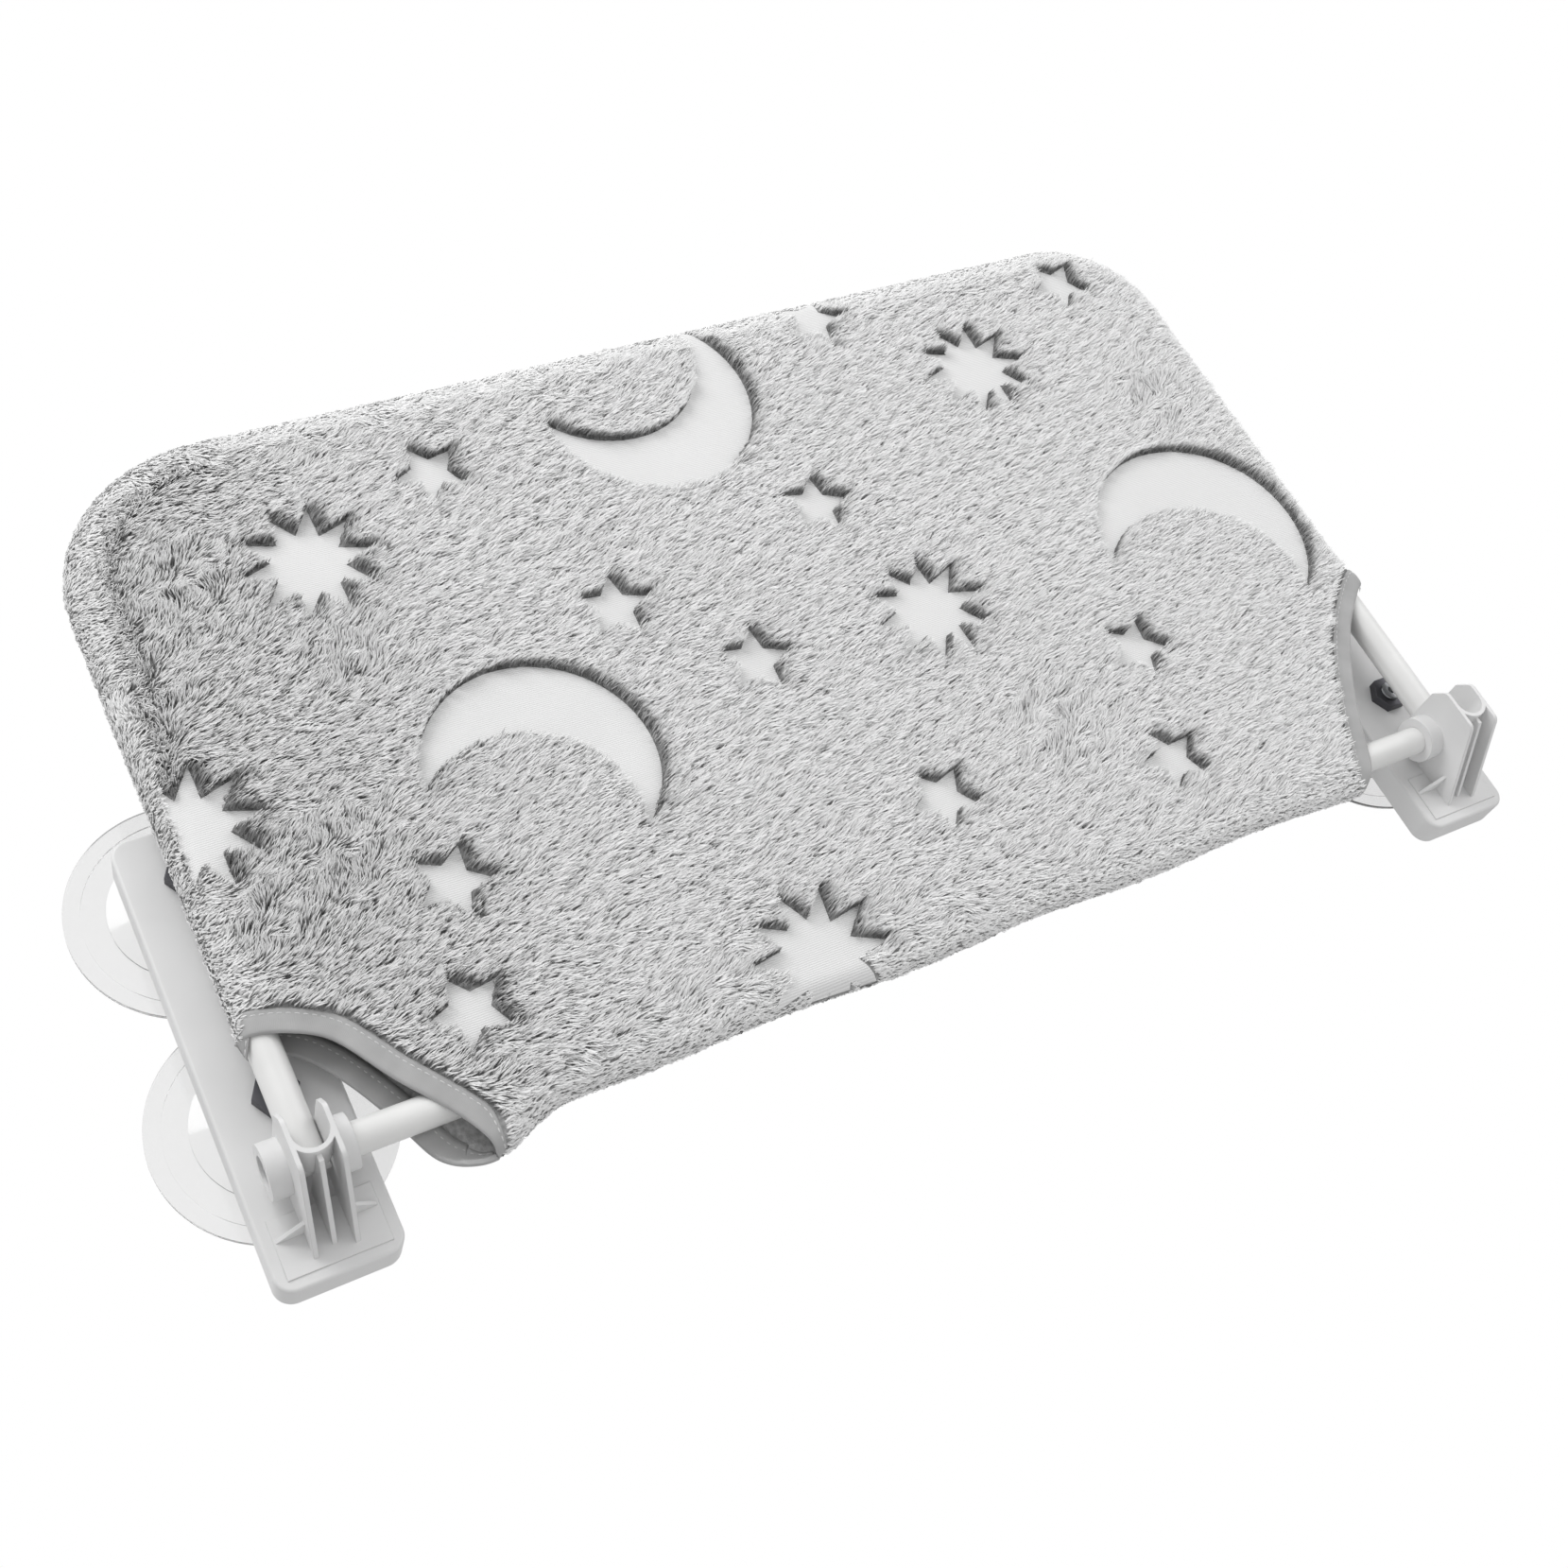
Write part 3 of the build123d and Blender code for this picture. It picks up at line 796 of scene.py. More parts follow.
def on_layer(plan, layer, proud):
    """Points of the plan on a layer's surface, moved outwards by proud."""
    height, side = layers[layer]
    x, z = plan[..., 0], plan[..., 1]
    outward = 1 - np.clip(edge_distance(x, z), 0, ground) / ground
    slope_x = edge_distance(x + slope_step, z) - edge_distance(x - slope_step, z)
    slope_z = edge_distance(x, z + slope_step) - edge_distance(x, z - slope_step)
    share = proud * outward / (np.hypot(slope_x, slope_z) + tiny)
    lift = height(x, z) + proud * np.sqrt(1 - outward**2)
    return np.stack([x - share * slope_x, pivot_y + side * lift, z - share * slope_z], axis=-1)


# %% [markdown]
# ## The pressed pattern
#
# Moons, suns and stars lie scattered over the cloth in no order. A moon is one disc with a second
# disc taken out of it. A sun has ten points and a star five. Each is drawn as an outline, filled
# with small triangles and laid on the ground, just proud of it, so that its edge stays sharp.
# These sizes are in millimetres, and the list of outlines is in metres.

# %% Motif sizes
# Each moon: centre x and z, radius of the disc, and the direction in degrees that its horns point
moons = [(-13.5, 220.5, 55.5, 115), (-148.5, 40, 53, -119), (235.5, 55.5, 59.5, -116)]
# Each sun: centre x and z, radius of its points, and the direction of its first point
suns = [
    (-205, 172, 32, 0),
    (171, 193.5, 32, 0),
    (66, 61, 31.5, 4),
    (-297.5, 58, 32, 0),
    (-74, -85, 33, -8),
]
# Each star: centre x and z, and the direction of its first point
stars = [
    (-133.5, 206, -35),
    (41.5, 135.5, 1),
    (-81.5, 109, 4),
    (158.5, 7.5, -13),
    (-31, 61, 2),
    (18.5, -35, -30),
    (-206.5, 1, -12),
    (253.5, 236.5, -28),
    (139.5, -55, 29),
    (-222, -56, 33),
    (98, 248, -5),
    (-321, 127, 22),
]
star_radius = 18.5
moon_bite_share = 0.92
moon_offset_share = 0.6
moon_points = 90
sun_rays, sun_valley_share = 10, 0.52
star_rays, star_valley_share = 5, 0.48
ray_steps = 6
print("moons", len(moons), "suns", len(suns), "stars", len(stars))


# %% Motif outlines
def moon_outline(radius, direction):
    """A crescent's outline round zero: the long way round one disc and back along the other."""
    bite = radius * moon_bite_share
    apart = radius * moon_offset_share
    meet = (radius**2 - bite**2 + apart**2) / (2 * apart)
    outer = math.acos(meet / radius)
    inner = math.acos((meet - apart) / bite)
    turn = math.radians(direction)
    points = []
    for angle in np.linspace(outer, 2 * math.pi - outer, moon_points):
        points.append([radius * math.cos(angle), radius * math.sin(angle)])
    for angle in np.linspace(2 * math.pi - inner, inner, moon_points)[1:-1]:
        points.append([apart + bite * math.cos(angle), bite * math.sin(angle)])
    spin = np.array([[math.cos(turn), math.sin(turn)], [-math.sin(turn), math.cos(turn)]])
    return np.array(points) @ spin


def ray_outline(radius, valley, rays, direction):
    """The outline of a star or sun round zero, its sides cut into short steps."""
    corners = []
    for k in range(2 * rays):
        angle = math.radians(direction) + math.pi * k / rays
        reach = radius if k % 2 == 0 else radius * valley
        corners.append([reach * math.cos(angle), reach * math.sin(angle)])
    corners = np.array(corners)
    share = np.linspace(0, 1, ray_steps, False)[:, None]
    following = np.roll(corners, -1, axis=0)
    return np.concatenate([start + (end - start) * share for start, end in zip(corners, following)])


def all_outlines():
    """Every motif as its kind and its outline in plan, in metres."""
    found = []
    for x, z, radius, direction in moons:
        found.append(("moons", moon_outline(radius, direction) + (x, z)))
    for x, z, radius, direction in suns:
        found.append(("suns", ray_outline(radius, sun_valley_share, sun_rays, direction) + (x, z)))
    for x, z, direction in stars:
        found.append(("stars", ray_outline(star_radius, star_valley_share, star_rays, direction) + (x, z)))
    return [(kind, outline * mm) for kind, outline in found]


motifs = all_outlines()
print("motifs", len(motifs))


# %% [markdown]
# A patch must not hang over the rolled edge. At the two sides it stops a little way up the roll, and
# at the far and near edges almost at the seam. Points past that line are drawn back to it, and
# triangles that lie well past it are left out.

# %% Fill an outline
patch_pitch = 1.6 * mm
patch_inset = 0.985
same_point = 1e-7


def inside_outline(x, z, outline):
    """Whether each point lies inside a closed outline, by counting the sides it has to its left."""
    inside = np.zeros(x.shape, bool)
    following = np.roll(outline, -1, axis=0)
    for (ax, az), (bx, bz) in zip(outline, following):
        crosses = (az > z) != (bz > z)
        if az != bz:
            inside ^= crosses & (x < (bx - ax) * (z - az) / (bz - az) + ax)
    return inside


def fill_outline(outline):
    """Points and triangles that fill an outline, with an even scatter of points inside it."""
    low, high = outline.min(0), outline.max(0)
    xs, zs = np.meshgrid(np.arange(low[0], high[0], patch_pitch), np.arange(low[1], high[1], patch_pitch))
    xs = xs + (np.arange(xs.shape[0]) % 2 * patch_pitch / 2)[:, None]
    centre = outline.mean(0)
    shrunk = centre + (outline - centre) * patch_inset
    keep = inside_outline(xs, zs, outline) & inside_outline(xs, zs, shrunk)
    inner = np.stack([xs[keep], zs[keep]], axis=1)
    points = [Vector(p) for p in np.concatenate([outline, inner])]
    rim = list(range(len(outline)))
    edges = [(k, (k + 1) % len(outline)) for k in rim]
    vertices, _, faces, *_ = delaunay_2d_cdt(points, edges, [rim], 1, same_point)
    return np.array([tuple(v) for v in vertices]), [list(f) for f in faces]


# %% Motif patches
patch_proud = 0.35 * mm
side_start = 290 * mm
side_margin = 5.5 * mm
seam_margin = 0.3 * mm
drawn_back = 2.7 * mm


def make_patches(kind):
    """All motifs of one kind as one piece, laid on the upper layer's ground."""
    points, faces = [], []
    for name, outline in motifs:
        if name != kind:
            continue
        plan, triangles = fill_outline(outline)
        depth = edge_distance(plan[:, 0], plan[:, 1])
        at_side = np.abs(plan[:, 0]) > side_start
        least = np.where(at_side, side_margin, seam_margin)
        visible = depth > least - drawn_back
        inwards = np.sign(-plan) * np.clip(least - depth, 0, None)[:, None]
        plan += inwards * np.stack([at_side, ~at_side], axis=1)
        base = len(points)
        points += list(on_layer(plan, "upper", patch_proud))
        faces += [[base + k for k in t] for t in triangles if all(visible[k] for k in t)]
    used = sorted({k for face in faces for k in face})
    order = {k: i for i, k in enumerate(used)}
    faces = [[order[k] for k in face] for face in faces]
    piece = mesh_object("pressed_" + kind, [points[k] for k in used], faces, knit_white)
    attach(piece, "frame")
    return piece


patches = [make_patches(kind) for kind in ("moons", "suns", "stars")]
print("patches", [len(p.data.polygons) for p in patches])

# %% [markdown]
# ## The pile
#
# Real hair particles would be lost when the model is written out, so the pile is mesh: many
# thousands of small bent blades, each a tuft of yarn. They are planted on the cloth in proportion to
# its area, and no tuft stands on a pressed motif or on a binding. So the first need is to know, for
# any place in the plan, whether it's on a motif, and how far it is from the outlines and openings.

# %% Motifs and gaps in plan
box_margin = 1 * mm
binding_reach = 30 * mm
outline_reach = 6 * mm
outline_pitch = 1 * mm


def near_box(x, z, line, margin):
    """Whether each point lies in the box round a line, made larger by a margin."""
    low, high = line.min(0) - margin, line.max(0) + margin
    return (x > low[0]) & (x < high[0]) & (z > low[1]) & (z < high[1])


def motif_mask(x, z):
    """Whether points of the plan lie on a pressed motif."""
    mask = np.zeros(x.shape, bool)
    free = (edge_distance(x, z) > side_margin) | (np.abs(x) < side_start)
    for _, outline in motifs:
        near = near_box(x, z, outline, box_margin)
        if near.any():
            mask[near] |= inside_outline(x[near], z[near], outline)
    return mask & free


def gap_to_lines(x, z, lines, reach, ends=True):
    """The distance in plan from the nearest of some lines, where less than reach. Without ends, a
    point beyond a line's end counts as far from it."""
    gap = np.full(x.shape, reach)
    for line in lines:
        near = near_box(x, z, line, reach)
        if near.any():
            spots = np.stack([x[near], z[near]], axis=1)
            apart = np.sqrt(((spots[:, None] - line[None]) ** 2).sum(-1))
            closest = apart.argmin(1)
            apart = apart.min(1)
            if not ends:
                apart[(closest == 0) | (closest == len(line) - 1)] = reach
            gap[near] = np.minimum(gap[near], apart)
    return gap


def binding_gap(x, z, layer):
    """The distance in plan from the nearer opening's edge on one layer."""
    lines = [openings[layer, column]["curve"] for column in side_of]
    return gap_to_lines(x, z, lines, binding_reach, ends=False)


def outline_gap(x, z):
    """The distance in plan from the nearest motif's outline."""
    lines = []
    for _, outline in motifs:
        closed = np.concatenate([outline, outline[:1]])
        lines.append(resample(closed, int(run_length(closed)[-1] / outline_pitch)))
    return gap_to_lines(x, z, lines, outline_reach)


# %% Planting the tufts
def plant(layer, count, seed, bare):
    """Roots of tufts on one layer: their places and normals. bare tells where none grow."""
    rng = np.random.default_rng(seed)
    grid = layer_grid(layer)
    a, b, c, d = grid[:-1, :-1], grid[:-1, 1:], grid[1:, 1:], grid[1:, :-1]
    cross = np.cross(c - a, d - b).reshape(-1, 3)
    area = np.linalg.norm(cross, axis=1) / 2
    picked = rng.choice(len(area), size=count, p=area / area.sum())
    u, v = rng.random((2, count, 1))
    a, b, c, d = (corner.reshape(-1, 3)[picked] for corner in (a, b, c, d))
    places = (1 - u) * (1 - v) * a + u * (1 - v) * b + u * v * c + (1 - u) * v * d
    normals = cross[picked] / (2 * area[picked])[:, None]
    normals *= np.sign((normals[:, 1] * layers[layer][1]))[:, None]
    keep = ~bare(places[:, 0], places[:, 2])
    return places[keep], normals[keep]


# %% [markdown]
# How a tuft stands depends on where it grows. Beside a pressed motif the tufts are cut free on one
# side, so they stand up, and those above and to the right of it show their flanks as a dark wall,
# partly from real shade among the upright tufts and partly from shade painted into their colour. On
# the rolled edges the pile is stroked flat, and in the crease beside the left arm it is crushed every
# way. A few places are tousled. Everywhere else the pile leans over in drifts.

# %% Kinds of place
# Each ruffle: centre x and z and reach, in millimetres, of a place where the pile is tousled
ruffles = [
    (-262, 176, 26),
    (-300, 118, 26),
    (-243, 30, 26),
    (-282, 6, 18),
    (-206, 120, 20),
    (95, -20, 30),
    (262, 150, 26),
]
# Each step of a wall: its distance from the motif, in millimetres, and its share of the painted shade
wall_steps = ((1.5, 0.35), (3.5, 0.35), (5.5, 0.3))
wall_slope = 0.4
free_reach = 5.5 * mm
overhang_x, overhang_z = 2.5 * mm, 2.2 * mm
roll_start, roll_fade = 4 * mm, 12 * mm


def tousled_share(x, z):
    """From 0 to 1, how tousled the pile is."""
    share = np.zeros(x.shape)
    for centre_x, centre_z, reach in ruffles:
        apart = np.hypot(x - centre_x * mm, z - centre_z * mm)
        share = np.maximum(share, hill(apart, 0, reach * mm))
    return share


def kinds_of_place(x, z, on_upper):
    """For each tuft, from 0 to 1, how much its place is of each kind."""
    kinds = dict.fromkeys(("free", "wall", "overhang", "crushed", "tousled"), np.zeros(len(x)))
    if on_upper:
        kinds["free"] = 1 - ease(outline_gap(x, z) / free_reach)
        for reach, share in wall_steps:
            on_motif = motif_mask(x - reach * mm, z - wall_slope * reach * mm)
            kinds["wall"] = kinds["wall"] + share * on_motif
        kinds["overhang"] = motif_mask(x + overhang_x, z + overhang_z)
        kinds["crushed"] = side_crease(x, z)
        kinds["tousled"] = tousled_share(x, z)
    flat = 1 - ease((edge_distance(x, z) - roll_start) / roll_fade)
    kinds["rolled"] = flat * (1 - kinds["crushed"])
    kinds["free"] = kinds["free"] * (1 - kinds["rolled"])
    return kinds


# %% [markdown]
# The nap leans to the right. Wide drifts and smaller locks turn it, most of all near the edges and
# on the left half. On top of that each tuft turns a little by itself. Turns are in radians.

# %% Direction of the nap
nap_direction = np.array([0.995, 0.0, 0.06])
calm_start, calm_reach, calmest = 1.1, 60 * mm, 0.25
right_share = 0.6
rolled_calm = 0.6
drift_size, drift_turn = 110 * mm, 0.7
lock_size, lock_turn = 24 * mm, 0.8
tousle_size, tousle_turn, tousle_wave = 16 * mm, 0.9, 1.3
own_turn = 0.22
crushed_turn = 1.2


def nap_turn(x, z, kinds, rng):
    """How far each tuft is turned from the nap, as an angle in plan."""
    messy = np.clip(calm_start - edge_distance(x, z) / calm_reach, calmest, 1)
    messy = messy * np.where(x > 0, right_share, 1) * (1 - rolled_calm * kinds["rolled"])
    drifts = drift_turn * smooth_noise(x, z, drift_size, 11)
    swirl = messy * (drifts + lock_turn * smooth_noise(x, z, lock_size, 12))
    swirl = swirl + rng.normal(0, own_turn, len(x)) + kinds["crushed"] * rng.normal(0, crushed_turn, len(x))
    tousle = tousle_turn + tousle_wave * smooth_noise(x, z, tousle_size, 13)
    return swirl + kinds["tousled"] * tousle


def lay_flow(normals, angle):
    """The nap's direction turned by an angle in plan and laid on the cloth."""
    cos, sin = np.cos(angle), np.sin(angle)
    along_x = nap_direction[0] * cos - nap_direction[2] * sin
    along_z = nap_direction[0] * sin + nap_direction[2] * cos
    turned = np.stack([along_x, np.zeros(len(angle)), along_z], axis=1)
    turned -= normals * (turned * normals).sum(1)[:, None]
    return turned / (np.linalg.norm(turned, axis=1)[:, None] + tiny)


# %% [markdown]
# A tuft's length is uneven. It is a little longer in a wall, and shorter where it's pressed or hangs
# over a motif. Its brightness from root to tip is written on the mesh as an attribute, which the
# pile's material turns to a colour: the darker roots are painted shade. Walls, crushed and tousled
# places get more painted shade, as there their tufts hide each other from the light. The pile is also
# painted darker towards the left side, and lighter on the rolled edges.

# %% Length and brightness
length_wave, length_size, length_spread = 0.22, 9 * mm, 0.12
shortest, longest = 0.5, 1.35
length_change = {"wall": 0.1, "overhang": -0.3, "rolled": -0.38, "crushed": -0.2}
# The root's, joint's and tip's brightness, the darker root being painted shade, and how much of the painted
# shade each takes
tones = ((0.14, 0.3), (0.58, 1.0), (0.95, 0.45))
own_tone, tone_wave, tone_size = 0.07, 0.08, 7 * mm
# Painted shade for each kind of place; the rolled edges keep less of it
free_painted_shade, wall_painted_shade, wall_tip_painted_shade = 0.3, 0.5, 0.4
tousled_painted_shade, tousled_shade_size = 0.5, 12 * mm
crushed_painted_shade = 0.7
rolled_less_shade, rolled_painted_light = 0.8, 0.2
left_painted_shade, left_start, left_fade = 0.42, -120 * mm, 130 * mm


def tuft_lengths(x, z, kinds, rng):
    """The length of each tuft, as a share of the pile's."""
    long = 1 + length_wave * smooth_noise(x, z, length_size, 14) + rng.normal(0, length_spread, len(x))
    long = np.clip(long, shortest, longest)
    for kind, change in length_change.items():
        long = long * (1 + change * kinds[kind])
    return long


def tuft_tone_and_painted_shade(x, z, kinds, rng):
    """The brightness of each tuft at its root, joint and tip, for the two points of each: a random tone
    with painted shade and painted light.
    """
    shade = rng.normal(0, own_tone, len(x)) + tone_wave * smooth_noise(x, z, tone_size, 15)
    shaded_hollows = np.clip(smooth_noise(x, z, tousled_shade_size, 16), 0, 1)
    # dark is painted shade: in walls, beside outlines, in tousled hollows and in the crease
    dark = free_painted_shade * kinds["free"] + wall_painted_shade * kinds["wall"] + tousled_painted_shade * kinds["tousled"] * shaded_hollows
    dark = dark * (1 - rolled_less_shade * kinds["rolled"]) + crushed_painted_shade * kinds["crushed"]
    # Painted shade, darker towards the left side.
    dark = dark + left_painted_shade * ease((left_start - x) / left_fade)
    # Painted light on the rolled edges, where the pile is stroked flat.
    shade = shade + rolled_painted_light * kinds["rolled"]
    rows = [tone + shade - share * dark for tone, share in tones]
    rows[-1] = rows[-1] - wall_tip_painted_shade * kinds["wall"]
    return np.clip(np.repeat(np.stack(rows, axis=1), 2, axis=1), 0, 1)


# %% [markdown]
# Each tuft is a blade of two squares, bent at a joint. Its root is narrower than its joint and
# starts just below the ground. The blades of the glass side's thin pile are wider, to cover it.

# %% Points of the tufts
free_upright = 0.7
rolled_tilt, crushed_tilt = 0.62, -0.2
lower_bend, lower_spread, lower_share = -0.45, 0.12, 0.45
upper_bend, upper_spread, upper_share = 0.2, 0.1, 0.55
blade_roll = 0.35
root_depth = 0.3 * mm
# Half the width of a blade at its joint, in millimetres
half_width_low, half_width_high = 0.28, 0.5
glass_width = 1.7
root_width, tip_width = 0.8, 0.18


def blade_points(places, normals, flow, kinds, length, lean, wider, rng):
    """Six points a tuft: two each at its root, joint and tip."""
    count = len(places)
    roll = rng.normal(0, blade_roll, count)[:, None]
    across = np.cross(normals, flow) * np.cos(roll) + normals * np.sin(roll)
    long = (length * tuft_lengths(places[:, 0], places[:, 2], kinds, rng))[:, None]
    tilt = lean * (1 - free_upright * kinds["free"])
    tilt = tilt + rolled_tilt * kinds["rolled"] + crushed_tilt * kinds["crushed"]
    first = (tilt + lower_bend + rng.normal(0, lower_spread, count))[:, None]
    second = (tilt + upper_bend + rng.normal(0, upper_spread, count))[:, None]
    joint = places + lower_share * long * (np.cos(first) * normals + np.sin(first) * flow)
    tip = joint + upper_share * long * (np.cos(second) * normals + np.sin(second) * flow)
    root = places - root_depth * normals
    wide = rng.uniform(half_width_low, half_width_high, count)[:, None] * mm * wider
    rows = []
    for spot, share in ((root, root_width), (joint, 1), (tip, tip_width)):
        rows += [spot - across * wide * share, spot + across * wide * share]
    return np.stack(rows, axis=1).reshape(-1, 3)


# %% Growing the tufts
tuft_points = 6
blade_faces = np.array([[0, 1, 3, 2], [2, 3, 5, 4]])


def quick_mesh(name, points, faces, material):
    """A large mesh of quads, filled from arrays at once."""
    mesh = bpy.data.meshes.new(name)
    mesh.vertices.add(len(points))
    mesh.vertices.foreach_set("co", points.reshape(-1).astype(np.float32))
    mesh.loops.add(faces.size)
    mesh.loops.foreach_set("vertex_index", faces.reshape(-1).astype(np.int32))
    mesh.polygons.add(len(faces))
    mesh.polygons.foreach_set("loop_start", (np.arange(len(faces)) * 4).astype(np.int32))
    mesh.materials.append(material)
    mesh.polygons.foreach_set("use_smooth", [True] * len(faces))
    mesh.update(calc_edges=True)
    mesh.validate()
    piece = bpy.data.objects.new(name, mesh)
    bpy.context.collection.objects.link(piece)
    return piece


def grow(name, places, normals, length, lean, seed, on_upper):
    """Tufts on the given roots, as one piece."""
    rng = np.random.default_rng(seed)
    x, z = places[:, 0], places[:, 2]
    kinds = kinds_of_place(x, z, on_upper)
    flow = lay_flow(normals, nap_turn(x, z, kinds, rng))
    wider = 1 if on_upper else glass_width
    points = blade_points(places, normals, flow, kinds, length, lean, wider, rng)
    base = (np.arange(len(places)) * tuft_points)[:, None, None]
    piece = quick_mesh(name, points, (base + blade_faces[None]).reshape(-1, 4), pile_shaded_roots)
    # The tip attribute holds each tuft's painted shade, darkest at its root.
    tip = piece.data.attributes.new("tip", "FLOAT", "POINT")
    tip.data.foreach_set("value", tuft_tone_and_painted_shade(x, z, kinds, rng).reshape(-1).astype(np.float32))
    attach(piece, "frame")
    return piece


print("a tuft has", tuft_points, "points and", len(blade_faces), "squares")

# %% [markdown]
# The pile stops short of each tape, so that the tape lies free. At the left foot, where the tapes
# are gathered, it comes closer. Each layer's pile is split into bands from left to right, since one
# mesh with all of its tufts would be too heavy to write out whole.

# %% The pile of both layers
upper_tufts = 260000
lower_tufts = 70000
upper_length, upper_lean, upper_bands = 6.5 * mm, 0.92, 5
lower_length, lower_lean, lower_bands = 5.0 * mm, 1.25, 2
upper_seed, upper_band_seed = 21, 31
lower_seed, lower_band_seed = 22, 41
left_bare, right_bare, lower_bare_gap = 9.5 * mm, 13.5 * mm, 10 * mm
foot_share, foot_low, foot_bare_fade = 0.35, -114 * mm, 16 * mm
pressed_bare = 0.05


def upper_bare(x, z):
    """Where no tuft grows on the upper layer."""
    taper = foot_share + (1 - foot_share) * ease((z - foot_low) / foot_bare_fade)
    gap = np.where(x > 0, right_bare, left_bare) * np.where(x > 0, 1, taper)
    return motif_mask(x, z) | (binding_gap(x, z, "upper") < gap)


def lower_bare(x, z):
    """Where no tuft grows on the lower layer."""
    return (binding_gap(x, z, "lower") < lower_bare_gap) | (nut_press(x, z) > pressed_bare)


def split_bands(roots, count):
    """The roots' numbers in bands of equal size, from left to right."""
    return np.array_split(np.argsort(roots[:, 0], kind="stable"), count)


pile = []
roots, outward = plant("upper", upper_tufts, upper_seed, upper_bare)
for k, band in enumerate(split_bands(roots, upper_bands)):
    name, seed = f"pile_room_{k + 1}", upper_band_seed + k
    pile.append(grow(name, roots[band], outward[band], upper_length, upper_lean, seed, on_upper=True))
roots, outward = plant("lower", lower_tufts, lower_seed, lower_bare)
for k, band in enumerate(split_bands(roots, lower_bands)):
    name, seed = f"pile_glass_{k + 1}", lower_band_seed + k
    pile.append(grow(name, roots[band], outward[band], lower_length, lower_lean, seed, on_upper=False))
print("tufts", sum(len(p.data.polygons) // len(blade_faces) for p in pile))

# %% [markdown]
# ## Bindings and stitches
#
# Each opening's edge is bound with a folded tape, on both layers: it lies 9 mm wide on the outside,
# turns round the cloth's edge and comes back on the inside. The tape's cross section is a flat U that
# is swept along the opening's edge, over the roll of the cloth at both ends. The stitches pull a
# shallow groove into it. At the left foot, where the tapes of both layers meet, they are gathered
# narrow.

# %% The tape's cross section
tape_lift = 0.5 * mm
turn_reach = 0.5 * mm
turn_steps = 9
# The outer face, in millimetres: reach into the cloth, and how far the stitches lift or sink it
outer_face = ((9.3, 0), (8.2, 0.05), (7.2, -0.2), (6.2, 0.05), (4.5, 0), (2, 0), (0.5, 0))
inner_reaches = (0.5, 4, 8, 10.5)


def section_points():
    """The tape's cross section: reach into the cloth and height over its outer face."""
    under = -(cloth_thickness + tape_lift)
    middle, radius = (tape_lift + under) / 2, (tape_lift - under) / 2
    outer = [(reach * mm, tape_lift + groove * mm) for reach, groove in outer_face]
    turn = []
    for angle in np.linspace(0, math.pi, turn_steps)[1:-1]:
        turn.append((-radius * math.sin(angle) + turn_reach, middle + radius * math.cos(angle)))
    return outer + turn + [(reach * mm, under) for reach in inner_reaches]


tape_section = section_points()
print("the tape has", len(tape_section), "points across")

# %% Binding tape
tape_thickness = 0.5 * mm
# The tape's whole width, unfolded
tape_width = 22 * mm
gathered_share, gather_length = 0.6, 17 * mm


def inward_normals(opening):
    """For each point of an opening's edge, the plan direction into the cloth."""
    along = np.gradient(opening["curve"], axis=0)
    along /= np.linalg.norm(along, axis=1)[:, None]
    return np.stack([-along[:, 1], along[:, 0]], axis=1) * (1 if opening["side"] > 0 else -1)


def pinch(opening):
    """The share of its width that the tape has at each point of an opening's edge."""
    along = run_length(opening["curve"])
    if opening["side"] > 0:
        return np.ones(len(along))
    return 1 - gathered_share * (1 - ease(along / gather_length))


def make_binding(name, layer, opening):
    """The tape of one opening on one layer. Its weave runs along it by its UV map."""
    curve = opening["curve"]
    inward = inward_normals(opening) * pinch(opening)[:, None]
    points = np.stack([on_layer(curve + inward * reach, layer, proud) for reach, proud in tape_section])
    piece = mesh_object(name, points.reshape(-1, 3), grid_faces(*points.shape[:2]), tape_grey)
    uv = piece.data.uv_layers.new(name="weave")
    along = run_length(curve)
    across = np.linspace(0, tape_width, len(tape_section))
    for loop in piece.data.loops:
        row, column = divmod(loop.vertex_index, len(curve))
        uv.data[loop.index].uv = (along[column], across[row])
    solidify(piece, tape_thickness, 0)
    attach(piece, "frame")
    return piece


# %% [markdown]
# A row of light stitches holds each tape, 7 mm from the opening's edge, and shows outside and
# inside. Each stitch is a short round thread that dips into the tape at its two ends.

# %% Stitches
stitch_inset = 7.2 * mm
stitch_length = 2.4 * mm
stitch_pitch = 3.3 * mm
stitch_radius = 0.33 * mm
stitch_dips = np.array([0.35, 0.05, 0, 0.05, 0.35]) * mm
stitch_sides = 6
outside_proud = 0.55 * mm
inside_proud = -cloth_thickness - 0.6 * mm


def stitch_rings(path, out_y):
    """Rings of points round one stitch's path, each starting on the side that it stands out to."""
    along = path[-1] - path[0]
    along /= np.linalg.norm(along)
    out = np.array([0, out_y, 0])
    out = out - along * out.dot(along)
    out /= np.linalg.norm(out)
    across = np.cross(along, out)
    points = []
    for p in path:
        for angle in np.linspace(0, 2 * math.pi, stitch_sides, False):
            points.append(p + stitch_radius * (math.cos(angle) * out + math.sin(angle) * across))
    return points


def stitch_faces(base):
    """The faces of one stitch, whose first point has the number base: its sides and two ends."""
    faces = []
    last = len(stitch_dips) - 1
    for row in range(last):
        for j in range(stitch_sides):
            a = base + row * stitch_sides + j
            b = base + row * stitch_sides + (j + 1) % stitch_sides
            faces.append([a, b, b + stitch_sides, a + stitch_sides])
    faces.append([base + j for j in range(stitch_sides)][::-1])
    faces.append([base + last * stitch_sides + j for j in range(stitch_sides)])
    return faces


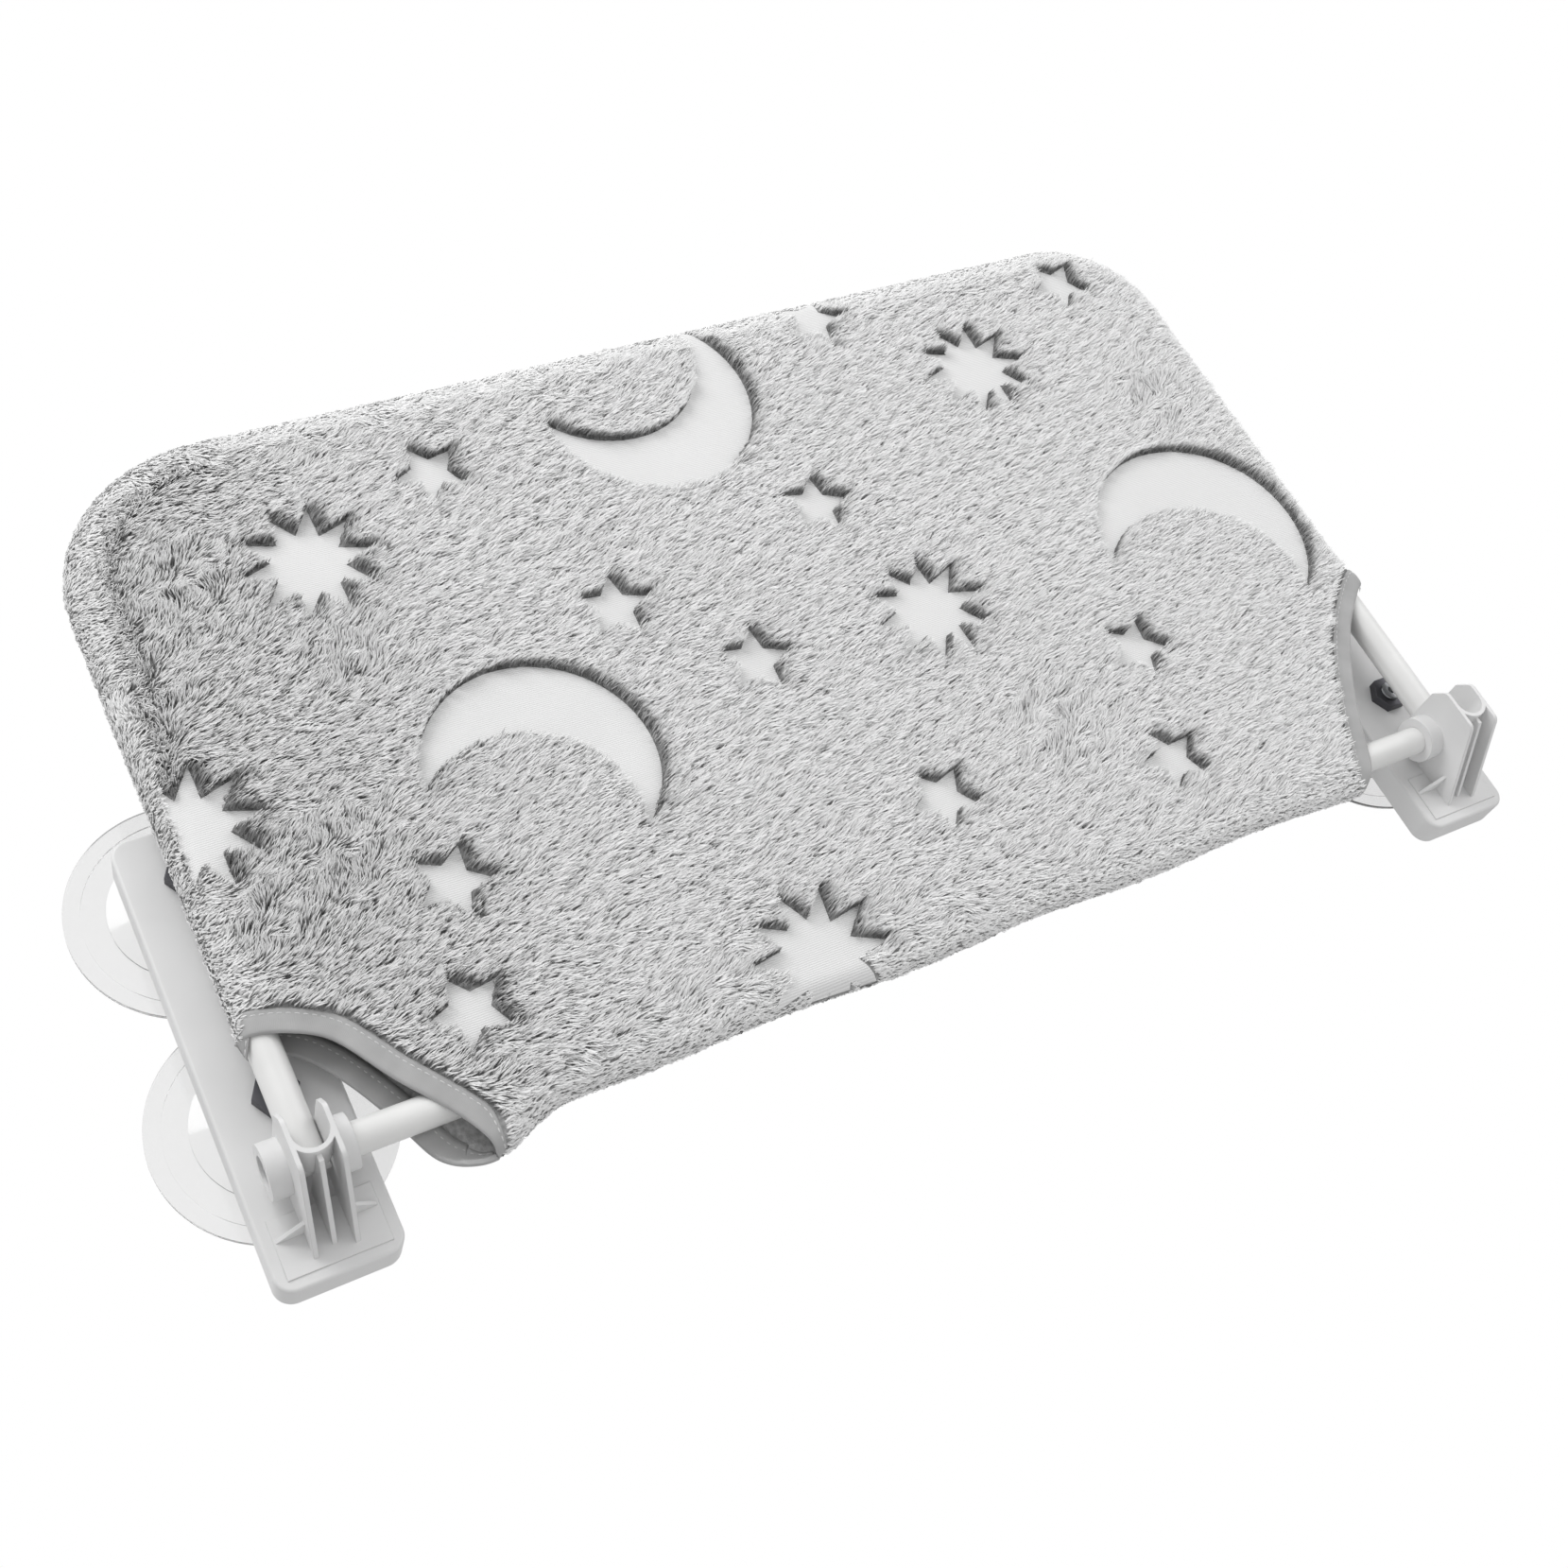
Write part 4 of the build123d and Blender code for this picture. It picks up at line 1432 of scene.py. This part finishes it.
def make_stitches(name, layer, opening, proud):
    """The row of stitches along one binding, outside or inside."""
    inset = (stitch_inset * pinch(opening))[:, None]
    line = on_layer(opening["curve"] + inward_normals(opening) * inset, layer, proud)
    out_y = layers[layer][1] * np.sign(proud)
    count = int(run_length(line)[-1] / stitch_pitch)
    half = stitch_length / stitch_pitch / 2
    points, faces = [], []
    for k in range(count):
        shares = np.linspace((k + 0.5 - half) / count, (k + 0.5 + half) / count, len(stitch_dips))
        path = resample(line, shares)
        path[:, 1] -= out_y * stitch_dips
        faces += stitch_faces(len(points))
        points += stitch_rings(path, out_y)
    piece = mesh_object(name, points, faces, thread_grey)
    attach(piece, "frame")
    return count


# %% Bind the openings
stitches = 0
for (layer, column), opening in openings.items():
    tape = make_binding(f"tape_{layer}_{column}", layer, opening)
    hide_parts(f"binding_{layer}_{column}")
    stitches += make_stitches(f"stitches_{layer}_{column}", layer, opening, outside_proud)
    stitches += make_stitches(f"stitches_{layer}_{column}_inside", layer, opening, inside_proud)
print("bindings", len(openings), "with", stitches, "stitches")

# %% [markdown]
# The two layers are sheets of cloth, stretched over the tubes.

# %% [markdown]
# ## Floor, light and camera
#
# The perch hangs on a window, so the floor lies well below it. The floor and the room are pale. The
# world gives an even light from all round, one large soft lamp above the left gives the tubes their
# bright line, and a weaker one fills from the right. To the camera the room looks white, and so does
# the floor away from the object, where it fades into the room.

# %% Floor
floor_size = 12.0
floor_drop = 0.8
fade_start, fade_end = 0.5, 2.2
floor_z = cad_box[0][2] - floor_drop
floor_material, floor_tree, floor_shader = start_material("pale floor", "#DEDEDE", 0.9)
spot = add(floor_tree, "ShaderNodeTexCoord").outputs["Object"]
far_off = add(floor_tree, "ShaderNodeVectorMath", {0: spot}, operation="LENGTH")
fade = add(
    floor_tree,
    "ShaderNodeMapRange",
    {"Value": far_off.outputs["Value"], "From Min": fade_start, "From Max": fade_end},
    interpolation_type="SMOOTHSTEP",
)
seen = add(floor_tree, "ShaderNodeLightPath")
share = add(
    floor_tree,
    "ShaderNodeMath",
    {0: fade.outputs["Result"], 1: seen.outputs["Is Camera Ray"]},
    operation="MULTIPLY",
)
paper = add(floor_tree, "ShaderNodeEmission", {"Color": (1, 1, 1, 1), "Strength": 1.0})
mixed = add(
    floor_tree,
    "ShaderNodeMixShader",
    {0: share.outputs[0], 1: floor_shader.outputs[0], 2: paper.outputs[0]},
)
floor_tree.links.new(mixed.outputs[0], floor_tree.nodes["Material Output"].inputs["Surface"])
floor_corners = [(-1, -1), (1, -1), (1, 1), (-1, 1)]
floor_points = [(x * floor_size, y * floor_size, floor_z) for x, y in floor_corners]
floor = mesh_object("floor", floor_points, [(0, 1, 2, 3)], floor_material)
print("floor at", round(floor_z, 3), "m")

# %% World
world_light = 0.6
world = bpy.data.worlds.new("pale room")
bpy.context.scene.world = world
world.use_nodes = True
world_tree = world.node_tree
background = world_tree.nodes["Background"]
background.inputs["Color"].default_value = (1, 1, 1, 1)
background.inputs["Strength"].default_value = world_light
white = add(world_tree, "ShaderNodeBackground", {"Color": (1, 1, 1, 1), "Strength": 1.0})
ray = add(world_tree, "ShaderNodeLightPath")
seen = add(
    world_tree,
    "ShaderNodeMath",
    {0: ray.outputs["Is Camera Ray"], 1: ray.outputs["Is Transmission Ray"]},
    operation="MAXIMUM",
)
seen = add(
    world_tree, "ShaderNodeMath", {0: seen.outputs[0], 1: ray.outputs["Is Glossy Ray"]}, operation="MAXIMUM"
)
blend = add(
    world_tree,
    "ShaderNodeMixShader",
    {0: seen.outputs[0], 1: background.outputs[0], 2: white.outputs[0]},
)
world_tree.links.new(blend.outputs[0], world_tree.nodes["World Output"].inputs["Surface"])
print("world light", world_light)


# %% Lamps
def add_lamp(name, place, target, size, power):
    """A square soft lamp at a place, turned to a target."""
    data = bpy.data.lights.new(name, "AREA")
    data.shape = "SQUARE"
    data.size = size
    data.energy = power
    lamp = bpy.data.objects.new(name, data)
    lamp.location = place
    lamp.rotation_euler = (Vector(target) - Vector(place)).to_track_quat("-Z", "Y").to_euler()
    bpy.context.collection.objects.link(lamp)
    return lamp


centre = (0, pivot_y, 0.07)
lamps = [
    add_lamp("key", (-0.9, -1.3, 1.5), centre, size=1.4, power=25),
    add_lamp("fill", (1.4, -1.6, 0.3), centre, size=1.6, power=9),
]
print("lamps", [lamp.name for lamp in lamps])

# %% [markdown]
# The camera stands in the room, low and to the left, and looks up at the perch with its head tilted.
# Its place, its direction and its lens were worked out from the object's straight edges and circles
# in the picture. The lens is first known as a length in pixels of a square picture.

# %% Camera
camera_place = Vector((-0.4118, -0.7615, -0.3271))
looking = Vector((0.42289, 0.82391, 0.37727))
upright = Vector((0.28106, -0.51506, 0.80977))
sensor_width = 36.0
focal_pixels = 2024.79
picture_width = 1659
camera_data = bpy.data.cameras.new("camera")
camera_data.sensor_width = sensor_width
camera_data.lens = sensor_width * focal_pixels / picture_width
camera = bpy.data.objects.new("camera", camera_data)
rightward = looking.cross(upright).normalized()
upright = rightward.cross(looking).normalized()
turn = Matrix((rightward, upright, -looking.normalized())).transposed()
camera.matrix_world = Matrix.Translation(camera_place) @ turn.to_4x4()
bpy.context.collection.objects.link(camera)
bpy.context.scene.camera = camera
bpy.context.scene.view_settings.view_transform = "Standard"
print("camera lens", round(camera_data.lens, 2), "mm")
